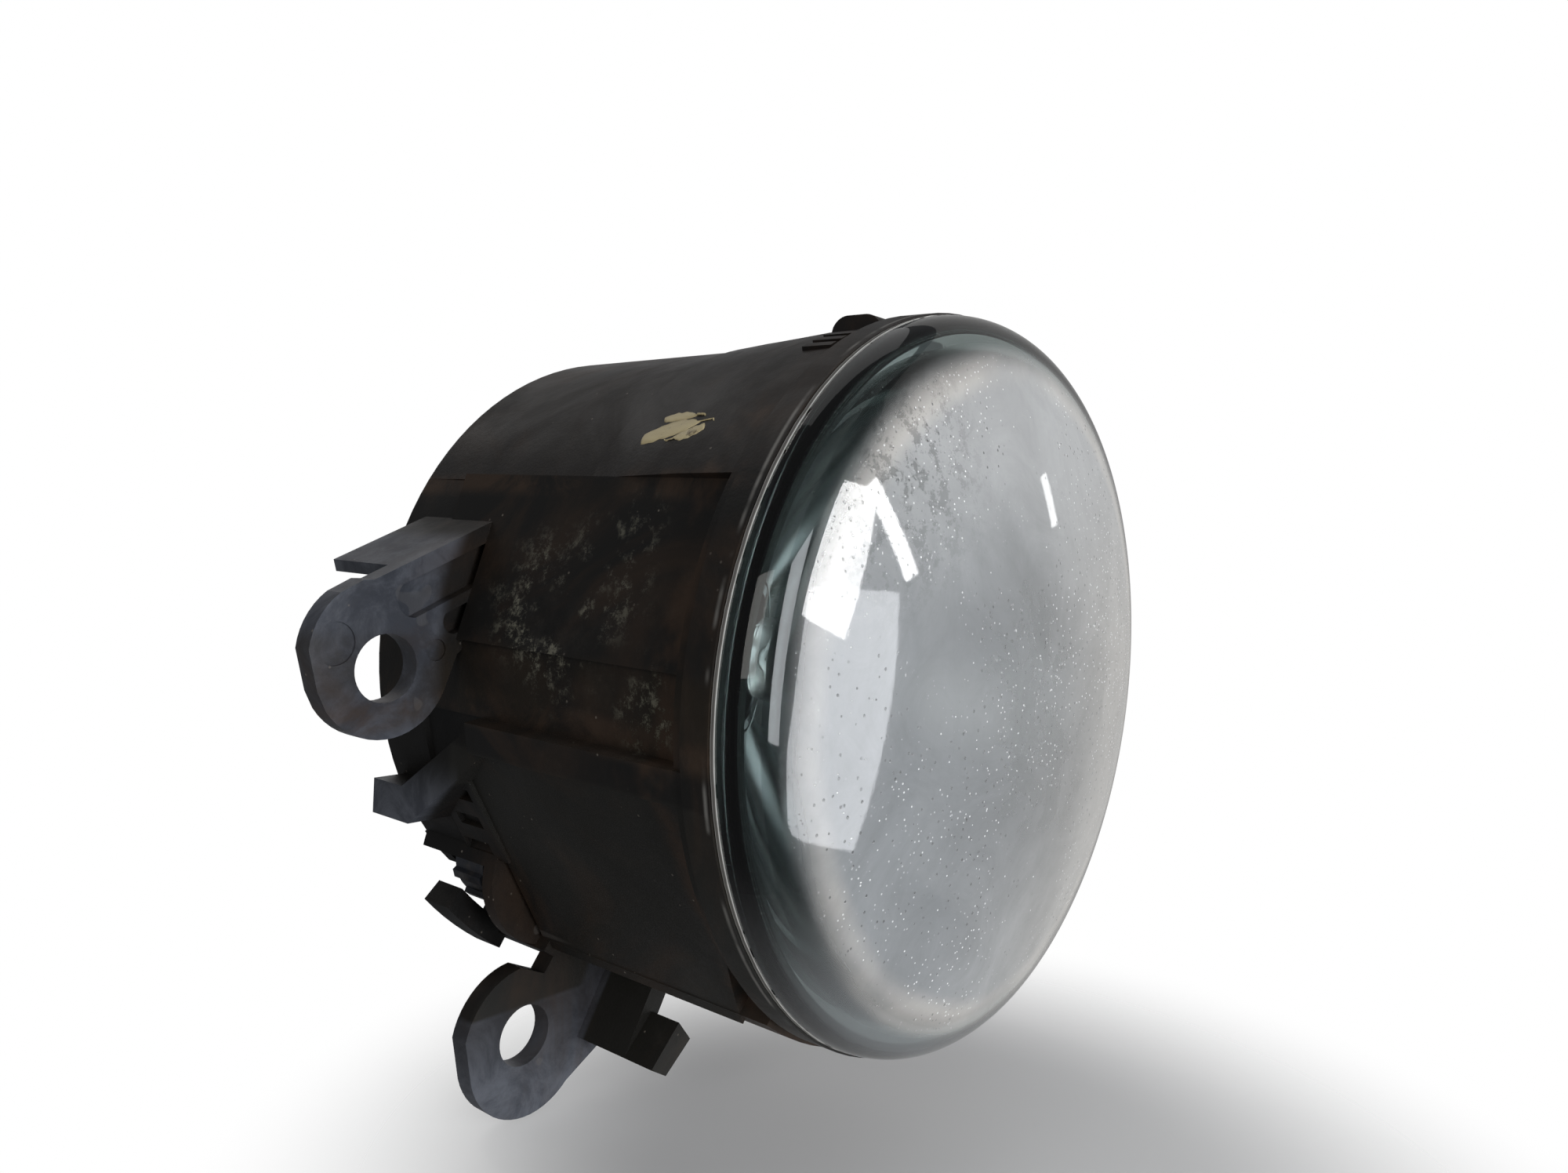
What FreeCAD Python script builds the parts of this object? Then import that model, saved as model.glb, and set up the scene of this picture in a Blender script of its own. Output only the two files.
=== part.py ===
import FreeCAD, Part
import math
import os
import re

import Sketcher

# Round front fog light, modelled about its optical axis.
# X points to the right of someone facing the lens, Y points back into the car, Z points up.
# The origin is on the optical axis at the front edge of the housing collar.
# Clock angles are in degrees, seen from the front: 0 is up and 90 is to the right (+X).

DIMENSIONS = {
    # lens: thick round glass with a rolled shoulder and a shallow dome
    "lens_radius": 44.5,
    "lens_shoulder": 5.8,
    "lens_dome_angle": 18.5,
    "lens_flange_gap": 0.7,
    "lens_leg_outer": 43.0,
    "lens_leg_inner": 40.2,
    "lens_leg_depth": 2.6,
    # housing shell
    "collar_radius": 44.8,
    "collar_depth": 3.6,
    "channel_radius": 43.4,
    "channel_depth": 3.2,
    "rim_radius": 44.0,
    "rim_depth": 5.2,
    "cavity_radius": 39.2,
    "core_radius": 41.0,
    "rear_radius": 41.5,
    "rear_ring_depth": 50.0,
    "housing_depth": 60.0,
    "back_wall": 2.5,
    "edge_round": 0.8,
    "dome_end_clock": 214.0,
    "bead_gap": 0.2,
    # left flank: two flats, a rib and the flat adjuster panel
    "flank_start": 5.2,
    "flank_end": 50.0,
    "ledge_clock": 302.0,
    "step_clock": 274.0,
    "step_height": 0.9,
    "flank_radius": 42.8,
    "rib_top_clock": 262.0,
    "rib_bottom_clock": 257.2,
    "rib_radius": 44.4,
    "rib_end": 38.0,
    "panel_rear": 43.0,
    "panel_front_top": 4.2,
    "panel_front_bottom": 9.0,
    "panel_end_clock": 214.0,
    "panel_corner_clock": 236.0,
    "margin_top_clock": 252.0,
    "margin_bottom_clock": 232.6,
    "margin_length": 8.0,
    "window_floor": 40.4,
    "window_half_angle": 1.3,
    "skirt_radius": 45.2,
    "skirt_right_clock": 150.0,
    "skirt_left_clock": 216.0,
    "rib_tail_x": 42.4,
    "rib_tail_width": 6.5,
    # ears
    "ear_front": 42.0,
    "ear_thickness": 2.7,
    "ear_hole": 3.9,
    "ear_side_x": 51.7,
    "ear_low_x": 29.6,
    "ear_low_z": 48.3,
    "ear_relief": 1.5,
    "ear_mark": 0.3,
    "flange_end": 56.0,
    "gusset_front": 33.0,
    "finger_front": 28.0,
    # rings and webs on the back
    "back_ring_inner": 33.0,
    "back_ring_outer": 35.0,
    "back_ring_height": 1.2,
    "back_web_start": 14.0,
    "back_web_end": 34.0,
    "back_web_half": 0.7,
    "back_web_height": 1.0,
    "back_web_count": 6,
    # top bump
    "tab_left": 12.4,
    "tab_width": 5.0,
    # bulb socket
    "socket_radius": 10.2,
    "socket_outer": 15.0,
    "socket_rear": 63.8,
    "bulb_key_radius": 12.0,
    "bulb_tab_radius": 11.7,
    "bulb_tab_angle": 24.0,
    "bulb_key_angle": 30.0,
    "bulb_unlock_angle": 40.0,
    "bulb_nose_radius": 9.4,
    "bulb_flange_radius": 13.8,
    "filament_y": 38.8,
    "capsule_nose": 22.0,
    "capsule_radius": 6.0,
    "capsule_wall": 0.8,
    "pinch_front": 50.6,
    "coil_radius": 0.8,
    "coil_bore": 0.45,
    "coil_length": 4.6,
    "lead_radius": 0.3,
    "base_front": 56.0,
    "base_rear": 67.8,
    "base_edge": 1.2,
    "shroud_front": 65.5,
    "shroud_rear": 81.5,
    "shroud_bottom": 24.0,
    "shroud_half": 11.0,
    "shroud_wall": 1.7,
    "tower_length": 14.5,
    "bulb_seal_y": 61.5,
    "bulb_seal_wire": 0.85,
    "blade_x": 4.0,
    "blade_width": 2.8,
    "blade_thickness": 0.8,
    "blade_length": 9.0,
    "blade_bottom": 18.5,
    # reflector
    "reflector_vertex": 48.0,
    "reflector_focus": 9.2,
    "reflector_wall": 1.8,
    "reflector_rim": 36.2,
    "reflector_throat": 12.0,
    "reflector_rim_y": 9.5,
    "arm_x": 33.0,
    "arm_thickness": 2.5,
    "pivot_pin": 1.5,
    "pivot_bush": 3.0,
    "pivot_play": 0.05,
    "pivot_boss": 4.6,
    # beam adjuster
    "adjuster_x": 24.6,
    "adjuster_z": 28.3,
    "adjuster_shaft": 2.5,
    "adjuster_play": 0.05,
    "gear_radius": 6.5,
    "gear_root": 5.9,
    "gear_start": 50.8,
    "gear_end": 56.6,
    "gear_hub": 3.0,
    "gear_hub_end": 57.2,
    "gear_teeth": 10,
    "pocket_radius": 7.6,
    "pocket_front": 46.0,
    "pocket_wall": 2.0,
    "screw_front": 29.5,
    "screw_end": 53.6,
    "nut_radius": 4.0,
    "nut_channel": 4.5,
    "nut_length": 4.6,
    "lug_x": 12.2,
    "lug_thickness": 2.6,
    "ball_pin": 2.0,
    "slot_play": 0.08,
    "clip_half": 3.4,
    "clip_below": 2.9,
    "clip_above": 4.6,
    "washer_thickness": 0.8,
    "seal_wire": 0.8,
    "gear_boss": 3.7,
    "drive_radius": 2.3,
    # guards round the adjuster gear
    "guard_right_clock": 206.5,
    "guard_length": 14.5,
    "prong_inner": 45.2,
    "prong_outer": 48.2,
    "prong_start": 51.5,
    "prong_length": 5.0,
    "prong_left_clock": 227.0,
    "lip_wall": 1.9,
    "mouth_right_clock": 209.6,
    "mouth_left_clock": 232.4,
    # vent
    "vent_x": 19.0,
    "vent_z": 21.0,
    "vent_radius": 6.0,
    "vent_hole": 1.5,
    "vent_seat_wall": 1.4,
    "vent_patch_thickness": 0.4,
}

doc = FreeCAD.newDocument("fog_light")
sheet = doc.addObject("Spreadsheet::Sheet", "Dimensions")
for row, (alias, size) in enumerate(DIMENSIONS.items(), start=1):
    sheet.set(f"A{row}", alias)
    sheet.set(f"B{row}", str(size))
    sheet.setAlias(f"B{row}", alias)
doc.recompute()

SUB_PARTS = []


def bound(expression):
    """Expression with every alias written as a reference to the sheet."""

    def prefix(match):
        word = match.group(0)
        return "Dimensions." + word if word in DIMENSIONS else word

    return re.sub(r"[a-z][a-z_]*", prefix, str(expression))


def number(expression):
    """Present value of an expression of aliases."""
    return float(sheet.evalExpression(bound(expression)))


def polar(radius, clock):
    """X and Z expressions of a point at a radius and clock angle."""
    return f"({radius}) * sin({clock})", f"({radius}) * cos({clock})"


def new_body(label):
    """PartDesign body that becomes the sub-part with this name."""
    body = doc.addObject("PartDesign::Body", label)
    body.Label = label
    SUB_PARTS.append(body)
    return body


def new_sketch(body, name, role, offset):
    """Empty sketch on one of the body's origin planes, moved along the plane's normal."""
    sketch = body.newObject("Sketcher::SketchObject", name)
    plane = [item for item in body.Origin.OriginFeatures if item.Role == role][0]
    sketch.AttachmentSupport = [(plane, "")]
    sketch.MapMode = "FlatFace"
    sketch.setExpression(".AttachmentOffset.Base.z", bound(offset))
    return sketch


def pin_down(sketch, geometry, position, x, y):
    """Hold one point of a sketch at the coordinates given by two expressions."""
    for kind, expression in (("DistanceX", x), ("DistanceY", y)):
        constraint = Sketcher.Constraint(kind, -1, 1, geometry, position, number(expression))
        index = sketch.addConstraint(constraint)
        sketch.setExpression(f"Constraints[{index}]", bound(expression))


def arc_edge(start, end, radius):
    """Short arc between two points, anticlockwise when the radius is positive."""
    chord = end - start
    rise = math.sqrt(radius * radius - chord.Length * chord.Length / 4)
    side = FreeCAD.Vector(-chord.y, chord.x, 0).normalize()
    centre = (start + end) / 2 + side * math.copysign(rise, radius)
    first, last = (start, end) if radius > 0 else (end, start)
    angles = [math.atan2(p.y - centre.y, p.x - centre.x) for p in (first, last)]
    circle = Part.Circle(centre, FreeCAD.Vector(0, 0, 1), abs(radius))
    return Part.ArcOfCircle(circle, angles[0], angles[1])


def outline(body, name, role, vertices, offset="0"):
    """Closed sketch. A vertex is (x, y), or (x, y, radius) when an arc leads to it."""
    sketch = new_sketch(body, name, role, offset)
    points = [FreeCAD.Vector(number(v[0]), number(v[1]), 0) for v in vertices]
    ends = []
    for i, vertex in enumerate(vertices):
        start = points[i - 1]
        if len(vertex) == 3:
            radius = number(vertex[2])
            index = sketch.addGeometry(arc_edge(start, points[i], radius), False)
            ends.append((index, (1, 2) if radius > 0 else (2, 1)))
        else:
            index = sketch.addGeometry(Part.LineSegment(start, points[i]), False)
            ends.append((index, (1, 2)))
    for i, vertex in enumerate(vertices):
        index, (_, last) = ends[i]
        following, (first, _) = ends[(i + 1) % len(ends)]
        sketch.addConstraint(Sketcher.Constraint("Coincident", index, last, following, first))
        pin_down(sketch, index, last, vertex[0], vertex[1])
        if len(vertex) == 3:
            radius = number(vertex[2])
            held = sketch.addConstraint(Sketcher.Constraint("Radius", index, abs(radius)))
            sketch.setExpression(f"Constraints[{held}]", bound(f"abs({vertex[2]})"))
    return sketch


def round_outline(body, name, role, x, y, radius, offset="0"):
    """Sketch of one circle."""
    sketch = new_sketch(body, name, role, offset)
    centre = FreeCAD.Vector(number(x), number(y), 0)
    circle = Part.Circle(centre, FreeCAD.Vector(0, 0, 1), number(radius))
    index = sketch.addGeometry(circle, False)
    pin_down(sketch, index, 3, x, y)
    held = sketch.addConstraint(Sketcher.Constraint("Radius", index, number(radius)))
    sketch.setExpression(f"Constraints[{held}]", bound(radius))
    return sketch


def feature(body, kind, sketch, **settings):
    """PartDesign feature made from a sketch, checked for having changed the body."""
    before = body.Shape.Volume if body.Tip else 0.0
    made = body.newObject("PartDesign::" + kind, sketch.Name + "_" + kind.lower())
    made.Profile = sketch
    for name, value in settings.items():
        if name in ("Length", "Angle"):
            made.setExpression(name, bound(value))
        else:
            setattr(made, name, value)
    sketch.Visibility = False
    doc.recompute()
    after = body.Shape.Volume
    grows = kind in ("Pad", "Revolution")
    if not (after > before if grows else after < before):
        raise RuntimeError(f"{made.Name} did not change {body.Label}: {before} to {after}")
    return made


def pad(body, sketch, length, back=False):
    return feature(body, "Pad", sketch, Length=length, Reversed=back)


def pocket(body, sketch, length, back=False):
    return feature(body, "Pocket", sketch, Length=length, Reversed=back)


def revolve(body, sketch, angle="360", axis="V_Axis", back=False):
    return feature(body, "Revolution", sketch, ReferenceAxis=(sketch, [axis]), Angle=angle,
                   Reversed=back)


def groove(body, sketch, axis="V_Axis"):
    return feature(body, "Groove", sketch, ReferenceAxis=(sketch, [axis]), Angle="360")


def prism(body, name, vertices, front, length, cut=False):
    """Outline in the XZ plane, carried back from the front depth through a length."""
    sketch = outline(body, name, "XZ_Plane", vertices, f"-({front})")
    return pocket(body, sketch, length) if cut else pad(body, sketch, length, back=True)


def rod(body, name, x, z, radius, front, length, cut=False):
    """Round bar or hole along Y, carried back from the front depth through a length."""
    sketch = round_outline(body, name, "XZ_Plane", x, z, radius, f"-({front})")
    return pocket(body, sketch, length) if cut else pad(body, sketch, length, back=True)


def sector(inner, outer, first_clock, last_clock):
    """Outline of a part of a ring, clockwise from the first clock angle to the last."""
    return [
        polar(outer, first_clock),
        polar(outer, last_clock) + (f"-({outer})",),
        polar(inner, last_clock),
        polar(inner, first_clock) + (inner,),
    ]


# --- lens and its adhesive -------------------------------------------------------------------

SHOULDER_X = "(lens_radius - lens_shoulder)"
DOME_RADIUS = f"(({SHOULDER_X} + lens_shoulder * sin(lens_dome_angle)) / sin(lens_dome_angle))"
INNER_SHOULDER = "2.9"
INNER_SHOULDER_X = f"(lens_leg_inner - {INNER_SHOULDER})"
INNER_DOME = (f"(({INNER_SHOULDER_X} + {INNER_SHOULDER} * sin(lens_dome_angle))"
              " / sin(lens_dome_angle))")


def crest(shoulder, dome):
    """Height of a dome's crest above its shoulder's centre."""
    return f"({shoulder} * cos(lens_dome_angle) + {dome} * (1 - cos(lens_dome_angle)))"


def make_lens():
    """Glass cap: a leg that sits in the adhesive channel, a rolled shoulder and a dome."""
    body = new_body("lens")
    flange = "(-lens_flange_gap)"
    rim = f"{SHOULDER_X} + lens_shoulder * sin(lens_dome_angle)"
    inner_rim = f"{INNER_SHOULDER_X} + {INNER_SHOULDER} * sin(lens_dome_angle)"
    section = [
        ("lens_radius", flange, "lens_shoulder"),
        ("lens_leg_outer", flange),
        ("lens_leg_outer", "lens_leg_depth"),
        ("lens_leg_inner", "lens_leg_depth"),
        ("lens_leg_inner", flange),
        (inner_rim, f"{flange} - {INNER_SHOULDER} * cos(lens_dome_angle)", f"-{INNER_SHOULDER}"),
        ("0", f"{flange} - {crest(INNER_SHOULDER, INNER_DOME)}", f"-{INNER_DOME}"),
        ("0", f"{flange} - {crest('lens_shoulder', DOME_RADIUS)}"),
        (rim, f"{flange} - lens_shoulder * cos(lens_dome_angle)", DOME_RADIUS),
    ]
    revolve(body, outline(body, "lens_section", "XY_Plane", section))


def make_lens_adhesive():
    """Cured bead: the ring seen between glass and collar, and the filling of the channel."""
    body = new_body("lens_adhesive")
    bead_radius = "collar_radius - bead_gap"
    section = [
        ("lens_leg_outer", "-lens_flange_gap"),
        (bead_radius, "-lens_flange_gap"),
        (bead_radius, "0"),
        ("channel_radius", "0"),
        ("channel_radius", "channel_depth"),
        ("lens_leg_inner", "channel_depth"),
        ("lens_leg_inner", "lens_leg_depth"),
        ("lens_leg_outer", "lens_leg_depth"),
    ]
    revolve(body, outline(body, "adhesive_section", "XY_Plane", section))


# --- housing ---------------------------------------------------------------------------------

# Blind windows in the panel's rear margin: clock angle, front edge and length.
MARGIN_WINDOWS = [("247", "43.2", "3.8"), ("241", "43.8", "4.6"), ("234.9", "44.6", "5.0")]


def add_flank(body):
    """Left side between the ledge and the skirt: two flats, a rib and the adjuster panel."""
    upper = [
        polar("cavity_radius", "step_clock"),
        polar("flank_radius", "step_clock"),
        polar("flank_radius", "ledge_clock"),
        polar("cavity_radius", "ledge_clock"),
    ]
    lower = [
        polar("cavity_radius", "rib_top_clock"),
        polar("flank_radius - step_height", "rib_top_clock"),
        polar("flank_radius - step_height", "step_clock"),
        polar("cavity_radius", "step_clock"),
    ]
    prism(body, "upper_flat", upper, "flank_start", "flank_end - flank_start")
    prism(body, "lower_flat", lower, "flank_start", "flank_end - flank_start")
    panel = [
        polar("cavity_radius - 1", "panel_end_clock"),
        polar("skirt_radius + 0.6", "panel_end_clock"),
        polar("rib_radius - 1.2", "rib_bottom_clock"),
        polar("cavity_radius - 1", "rib_bottom_clock"),
        polar("cavity_radius - 1", "panel_corner_clock"),
    ]
    prism(body, "adjuster_panel", panel, "panel_front_top", "panel_rear - panel_front_top")
    margin = [
        polar("cavity_radius", "margin_top_clock"),
        polar("flank_radius", "margin_top_clock"),
        polar("flank_radius - step_height", "margin_bottom_clock"),
        polar("cavity_radius", "margin_bottom_clock"),
    ]
    prism(body, "panel_margin", margin, "panel_rear - 1", "margin_length")
    for number_of_window, (clock, start, length) in enumerate(MARGIN_WINDOWS):
        window = sector("window_floor", "skirt_radius + 0.8", f"{clock} - window_half_angle",
                        f"{clock} + window_half_angle")
        prism(body, f"margin_window_{number_of_window}", window, start, length, cut=True)
    slant = [
        ("panel_front_top - 1", "-9.5"),
        ("panel_front_top", "-9.5"),
        ("panel_front_bottom", "-34"),
        ("panel_front_bottom + 1", "-44"),
        ("panel_front_top - 1", "-44"),
    ]
    pocket(body, outline(body, "panel_front_slant", "YZ_Plane", slant, "-60"), "40", back=True)
    skirt = sector("cavity_radius - 1", "skirt_radius", "skirt_right_clock", "skirt_left_clock")
    prism(body, "skirt", skirt, "flank_start", "panel_rear - flank_start")
    rib = sector("cavity_radius", "rib_radius", "rib_bottom_clock", "rib_top_clock")
    prism(body, "flank_rib", rib, "collar_depth", "rib_end - collar_depth")
    tail = [
        ("rib_end - 3", "-6.3"),
        ("rib_end", "-6.3"),
        ("52", "-16.2"),
        ("58", "-16.2"),
        ("58", "-20.6"),
        ("50.4", "-20.6"),
        ("rib_end - 1", "-10.4"),
    ]
    pad(body, outline(body, "rib_tail", "YZ_Plane", tail, "-rib_tail_x"), "rib_tail_width")


def add_shell(body):
    """Outside of the round shell, with the flared dome side and the collar."""
    core = [
        ("0", "0"),
        ("collar_radius", "0"),
        ("collar_radius", "collar_depth"),
        ("rim_radius", "collar_depth"),
        ("rim_radius", "rim_depth"),
        ("core_radius", "rim_depth"),
        ("core_radius", "rear_ring_depth"),
        ("rear_radius", "rear_ring_depth + 0.5"),
        ("rear_radius", "housing_depth - edge_round"),
        ("rear_radius - edge_round", "housing_depth", "edge_round"),
        ("0", "housing_depth"),
    ]
    revolve(body, outline(body, "shell_section", "XY_Plane", core))
    flare = [
        ("cavity_radius", "rim_depth"),
        ("43.9", "rim_depth"),
        ("43.6", "13"),
        ("42.8", "23"),
        ("42.4", "27.5"),
        ("42.0", "28"),
        ("rear_radius", "housing_depth - edge_round"),
        ("cavity_radius", "housing_depth - edge_round"),
    ]
    sketch = outline(body, "dome_section", "XY_Plane", flare)
    sketch.setExpression(".AttachmentOffset.Rotation.Angle", bound("ledge_clock - 90"))
    sketch.setExpression(".AttachmentOffset.Rotation.Axis.y", "1")
    sketch.setExpression(".AttachmentOffset.Rotation.Axis.z", "0")
    revolve(body, sketch, angle="dome_end_clock + 360 - ledge_clock")


def side_ear(body, name, side):
    """Ear at 9 or 3 o'clock (side -1 or +1): a bored plate on a ribbed arm with a flange."""

    def at(points):
        """Mirror the outline to the ear's side, keeping arcs turning outwards."""
        flipped = [(f"{side} * ({p[0]})",) + tuple(p[1:]) for p in points]
        if side > 0:
            flipped = [v[:2] + tuple(f"-({r})" for r in v[2:]) for v in flipped]
        return flipped

    plate = [
        ("36.0", "17.9"),
        ("53.6", "9.9"),
        ("54.8", "9.9"),
        ("57.6", "8.5"),
        ("61.0", "2.4", "8.6"),
        ("59.8", "-2.2"),
        ("58.8", "-4.2"),
        ("51.4", "-8.0", "8.6"),
        ("43.7", "-2.2", "8.4"),
        ("42.4", "1.2"),
        ("38.0", "4.6"),
    ]
    prism(body, name + "_plate", at(plate), "ear_front", "ear_thickness")
    flange = [
        ("36.0", "17.9"),
        ("50.3", "11.4"),
        ("49.9", "10.0"),
        ("36.0", "16.0"),
    ]
    prism(body, name + "_flange", at(flange), "ear_front", "flange_end - ear_front")
    upper_recess = [
        ("36.6", "15.4"),
        ("49.9", "9.4"),
        ("48.2", "5.6", "2.2"),
        ("36.6", "10.8"),
    ]
    lower_recess = [
        ("36.6", "9.4"),
        ("44.2", "6.0"),
        ("42.9", "3.6", "1.5"),
        ("36.6", "6.2"),
    ]
    prism(body, name + "_upper_recess", at(upper_recess), "ear_front", "ear_relief", cut=True)
    prism(body, name + "_lower_recess", at(lower_recess), "ear_front", "ear_relief", cut=True)
    rod(body, name + "_hole", f"{side} * ear_side_x", "0", "ear_hole", "ear_front - 1",
        "ear_thickness + 2", cut=True)
    rod(body, name + "_mark_outer", f"{side} * 58.0", "3.0", "2.4", "ear_front", "ear_mark",
        cut=True)
    rod(body, name + "_mark_inner", f"{side} * 45.3", "1.8", "1.3", "ear_front", "ear_mark",
        cut=True)


def low_ear(body):
    """Ear at 7 o'clock, with the gusset that runs forward from it."""
    plate = [
        ("-24.6", "-38.0"),
        ("-26.8", "-41.0"),
        ("-30.6", "-39.3"),
        ("-38.7", "-46.6", "9.1"),
        ("-37.6", "-52.2"),
        ("-30.2", "-59.0", "9.4"),
        ("-22.2", "-56.6", "9.1"),
        ("-16.6", "-53.4"),
        ("-11.0", "-42.5"),
    ]
    prism(body, "low_plate", plate, "ear_front", "ear_thickness")
    gusset = [
        ("-20.6", "-51.2"),
        ("-17.9", "-52.8"),
        ("-13.0", "-44.0"),
        ("-15.7", "-42.4"),
    ]
    prism(body, "low_gusset", gusset, "gusset_front", "ear_front - gusset_front")
    finger = [
        ("-20.6", "-51.2"),
        ("-17.9", "-52.8"),
        ("-13.6", "-49.2"),
        ("-15.9", "-46.4"),
    ]
    prism(body, "low_finger", finger, "finger_front", "ear_front - finger_front")
    rod(body, "low_hole", "-ear_low_x", "-ear_low_z", "ear_hole", "ear_front - 1",
        "ear_thickness + 2", cut=True)


def add_back(body):
    """Bulb socket collar, stiffening rings and the seat of the vent patch."""
    wall_front = "housing_depth - back_wall"
    rod(body, "socket_collar", "0", "0", "socket_outer", wall_front, f"socket_rear - ({wall_front})")
    ring = [
        ("back_ring_inner", "housing_depth - 0.5"),
        ("back_ring_outer", "housing_depth - 0.5"),
        ("back_ring_outer - 0.4", "housing_depth + back_ring_height"),
        ("back_ring_inner + 0.4", "housing_depth + back_ring_height"),
    ]
    revolve(body, outline(body, "back_ring", "XY_Plane", ring))
    for number_of_web in range(DIMENSIONS["back_web_count"]):
        clock = f"(30 + {number_of_web} * 360 / back_web_count)"
        web = []
        for radius, swing in (("back_web_start", "-"), ("back_web_end", "-"), ("back_web_end", "+"),
                              ("back_web_start", "+")):
            x, z = polar(radius, clock)
            opposite = "+" if swing == "-" else "-"
            web.append((f"{x} {swing} back_web_half * cos({clock})",
                        f"{z} {opposite} back_web_half * sin({clock})"))
        prism(body, f"back_web_{number_of_web}", web, "housing_depth - 0.5", "back_web_height + 0.5")
    rod(body, "vent_seat", "vent_x", "vent_z", "vent_radius + vent_seat_wall",
        "housing_depth - 0.5", "1.7")


def hollow(body):
    """Cavity, lens channel, bulb bore with its keyways, vent hole and adjuster pocket."""
    cavity = [
        ("0", "-1"),
        ("channel_radius", "-1"),
        ("channel_radius", "channel_depth"),
        ("cavity_radius", "channel_depth"),
        ("cavity_radius", "housing_depth - back_wall"),
        ("0", "housing_depth - back_wall"),
    ]
    groove(body, outline(body, "cavity_section", "XY_Plane", cavity))
    tube_start = "pocket_front - pocket_wall"
    rod(body, "pocket_tube", "-adjuster_x", "-adjuster_z", "pocket_radius + pocket_wall",
        tube_start, f"housing_depth - 1 - ({tube_start})")
    for side in (-1, 1):
        boss = round_outline(body, f"pivot_boss_{side + 1}", "YZ_Plane", "filament_y", "0",
                             "pivot_boss", f"{side} * 36")
        pad(body, boss, "4", back=side < 0)
        seat = round_outline(body, f"pivot_seat_{side + 1}", "YZ_Plane", "filament_y", "0",
                             "pivot_bush", f"{side} * 36")
        pocket(body, seat, "3.2", back=side > 0)
    rod(body, "nut_channel", "-adjuster_x", "-adjuster_z", "nut_channel", "screw_front - 1.5",
        f"{tube_start} - screw_front + 1.5", cut=True)
    rod(body, "pocket_bore", "-adjuster_x", "-adjuster_z", "pocket_radius", "pocket_front", "20",
        cut=True)
    mouth = [
        polar("cavity_radius - 0.2", "mouth_right_clock"),
        polar("60", "mouth_right_clock + 1"),
        polar("60", "mouth_left_clock - 1"),
        polar("cavity_radius - 0.2", "mouth_left_clock"),
    ]
    prism(body, "pocket_mouth", mouth, "pocket_front", "20", cut=True)
    rod(body, "screw_bore", "-adjuster_x", "-adjuster_z", "adjuster_shaft + adjuster_play",
        f"{tube_start} - 1", "4", cut=True)
    rod(body, "seal_seat", "-adjuster_x", "-adjuster_z", "adjuster_shaft + 1.7",
        "pocket_front - 1.2", "3", cut=True)
    rod(body, "bulb_bore", "0", "0", "socket_radius", "housing_depth - back_wall - 1", "10", cut=True)
    for key in range(3):
        middle = f"bulb_unlock_angle + {120 * key}"
        keyway = sector("socket_radius - 1", "bulb_key_radius", f"{middle} - bulb_key_angle / 2",
                        f"{middle} + bulb_key_angle / 2")
        prism(body, f"keyway_{key}", keyway, "housing_depth - back_wall - 1", "10", cut=True)
    rod(body, "vent_hole", "vent_x", "vent_z", "vent_hole", "housing_depth - back_wall - 1", "6", cut=True)
    rod(body, "vent_recess", "vent_x", "vent_z", "vent_radius + 0.1", "housing_depth + 0.6", "3",
        cut=True)


def add_adjuster_guards(body):
    """Guide prong beside the adjuster gear on its root, and the lip behind the gear."""
    root = sector("43.6", "46.6", "guard_right_clock", "215.4")
    prism(body, "prong_root", root, "panel_rear - 1", "guard_length")
    web = sector("core_radius", "skirt_radius - 0.2", "guard_right_clock", "guard_right_clock + 2.7")
    prism(body, "prong_web", web, "panel_rear - 1", "guard_length")
    prong = sector("prong_inner", "prong_outer", "213.5", "prong_left_clock")
    prism(body, "guide_prong", prong, "prong_start", "prong_length")
    lip = sector("rear_radius - lip_wall", "rear_radius", "224.5", "233")
    prism(body, "pocket_lip", lip, "gear_hub_end + 0.5", "housing_depth - gear_hub_end - 0.5")


def add_top_tab(body):
    """Small rounded locating bump on top, behind the collar."""
    tab = [
        ("5.0", "41.0"),
        ("12.6", "41.0"),
        ("12.2", "42.4"),
        ("10.2", "43.7", "2.4"),
        ("7.4", "43.7"),
        ("5.4", "42.4", "2.4"),
    ]
    sketch = outline(body, "top_tab", "YZ_Plane", tab, "-tab_left")
    pad(body, sketch, "tab_width")


def make_housing():
    """Moulded black housing in one piece with its three ears."""
    body = new_body("housing")
    add_flank(body)
    add_shell(body)
    side_ear(body, "left_ear", -1)
    side_ear(body, "right_ear", 1)
    low_ear(body)
    add_top_tab(body)
    add_back(body)
    hollow(body)
    add_adjuster_guards(body)


# --- reflector and its pivots ----------------------------------------------------------------

def bowl_depth(radius, shift="0"):
    """Depth at which the paraboloid, moved back by a shift, has the given radius."""
    return f"(reflector_vertex + {shift} - ({radius}) ^ 2 / (4 * reflector_focus))"


def bowl_points(shift, first, last):
    """Short chords that follow the paraboloid between two radii."""
    count = 12
    radii = [f"(({first}) + (({last}) - ({first})) * {i} / {count})" for i in range(count + 1)]
    return [(radius, bowl_depth(radius, shift)) for radius in radii]


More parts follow.
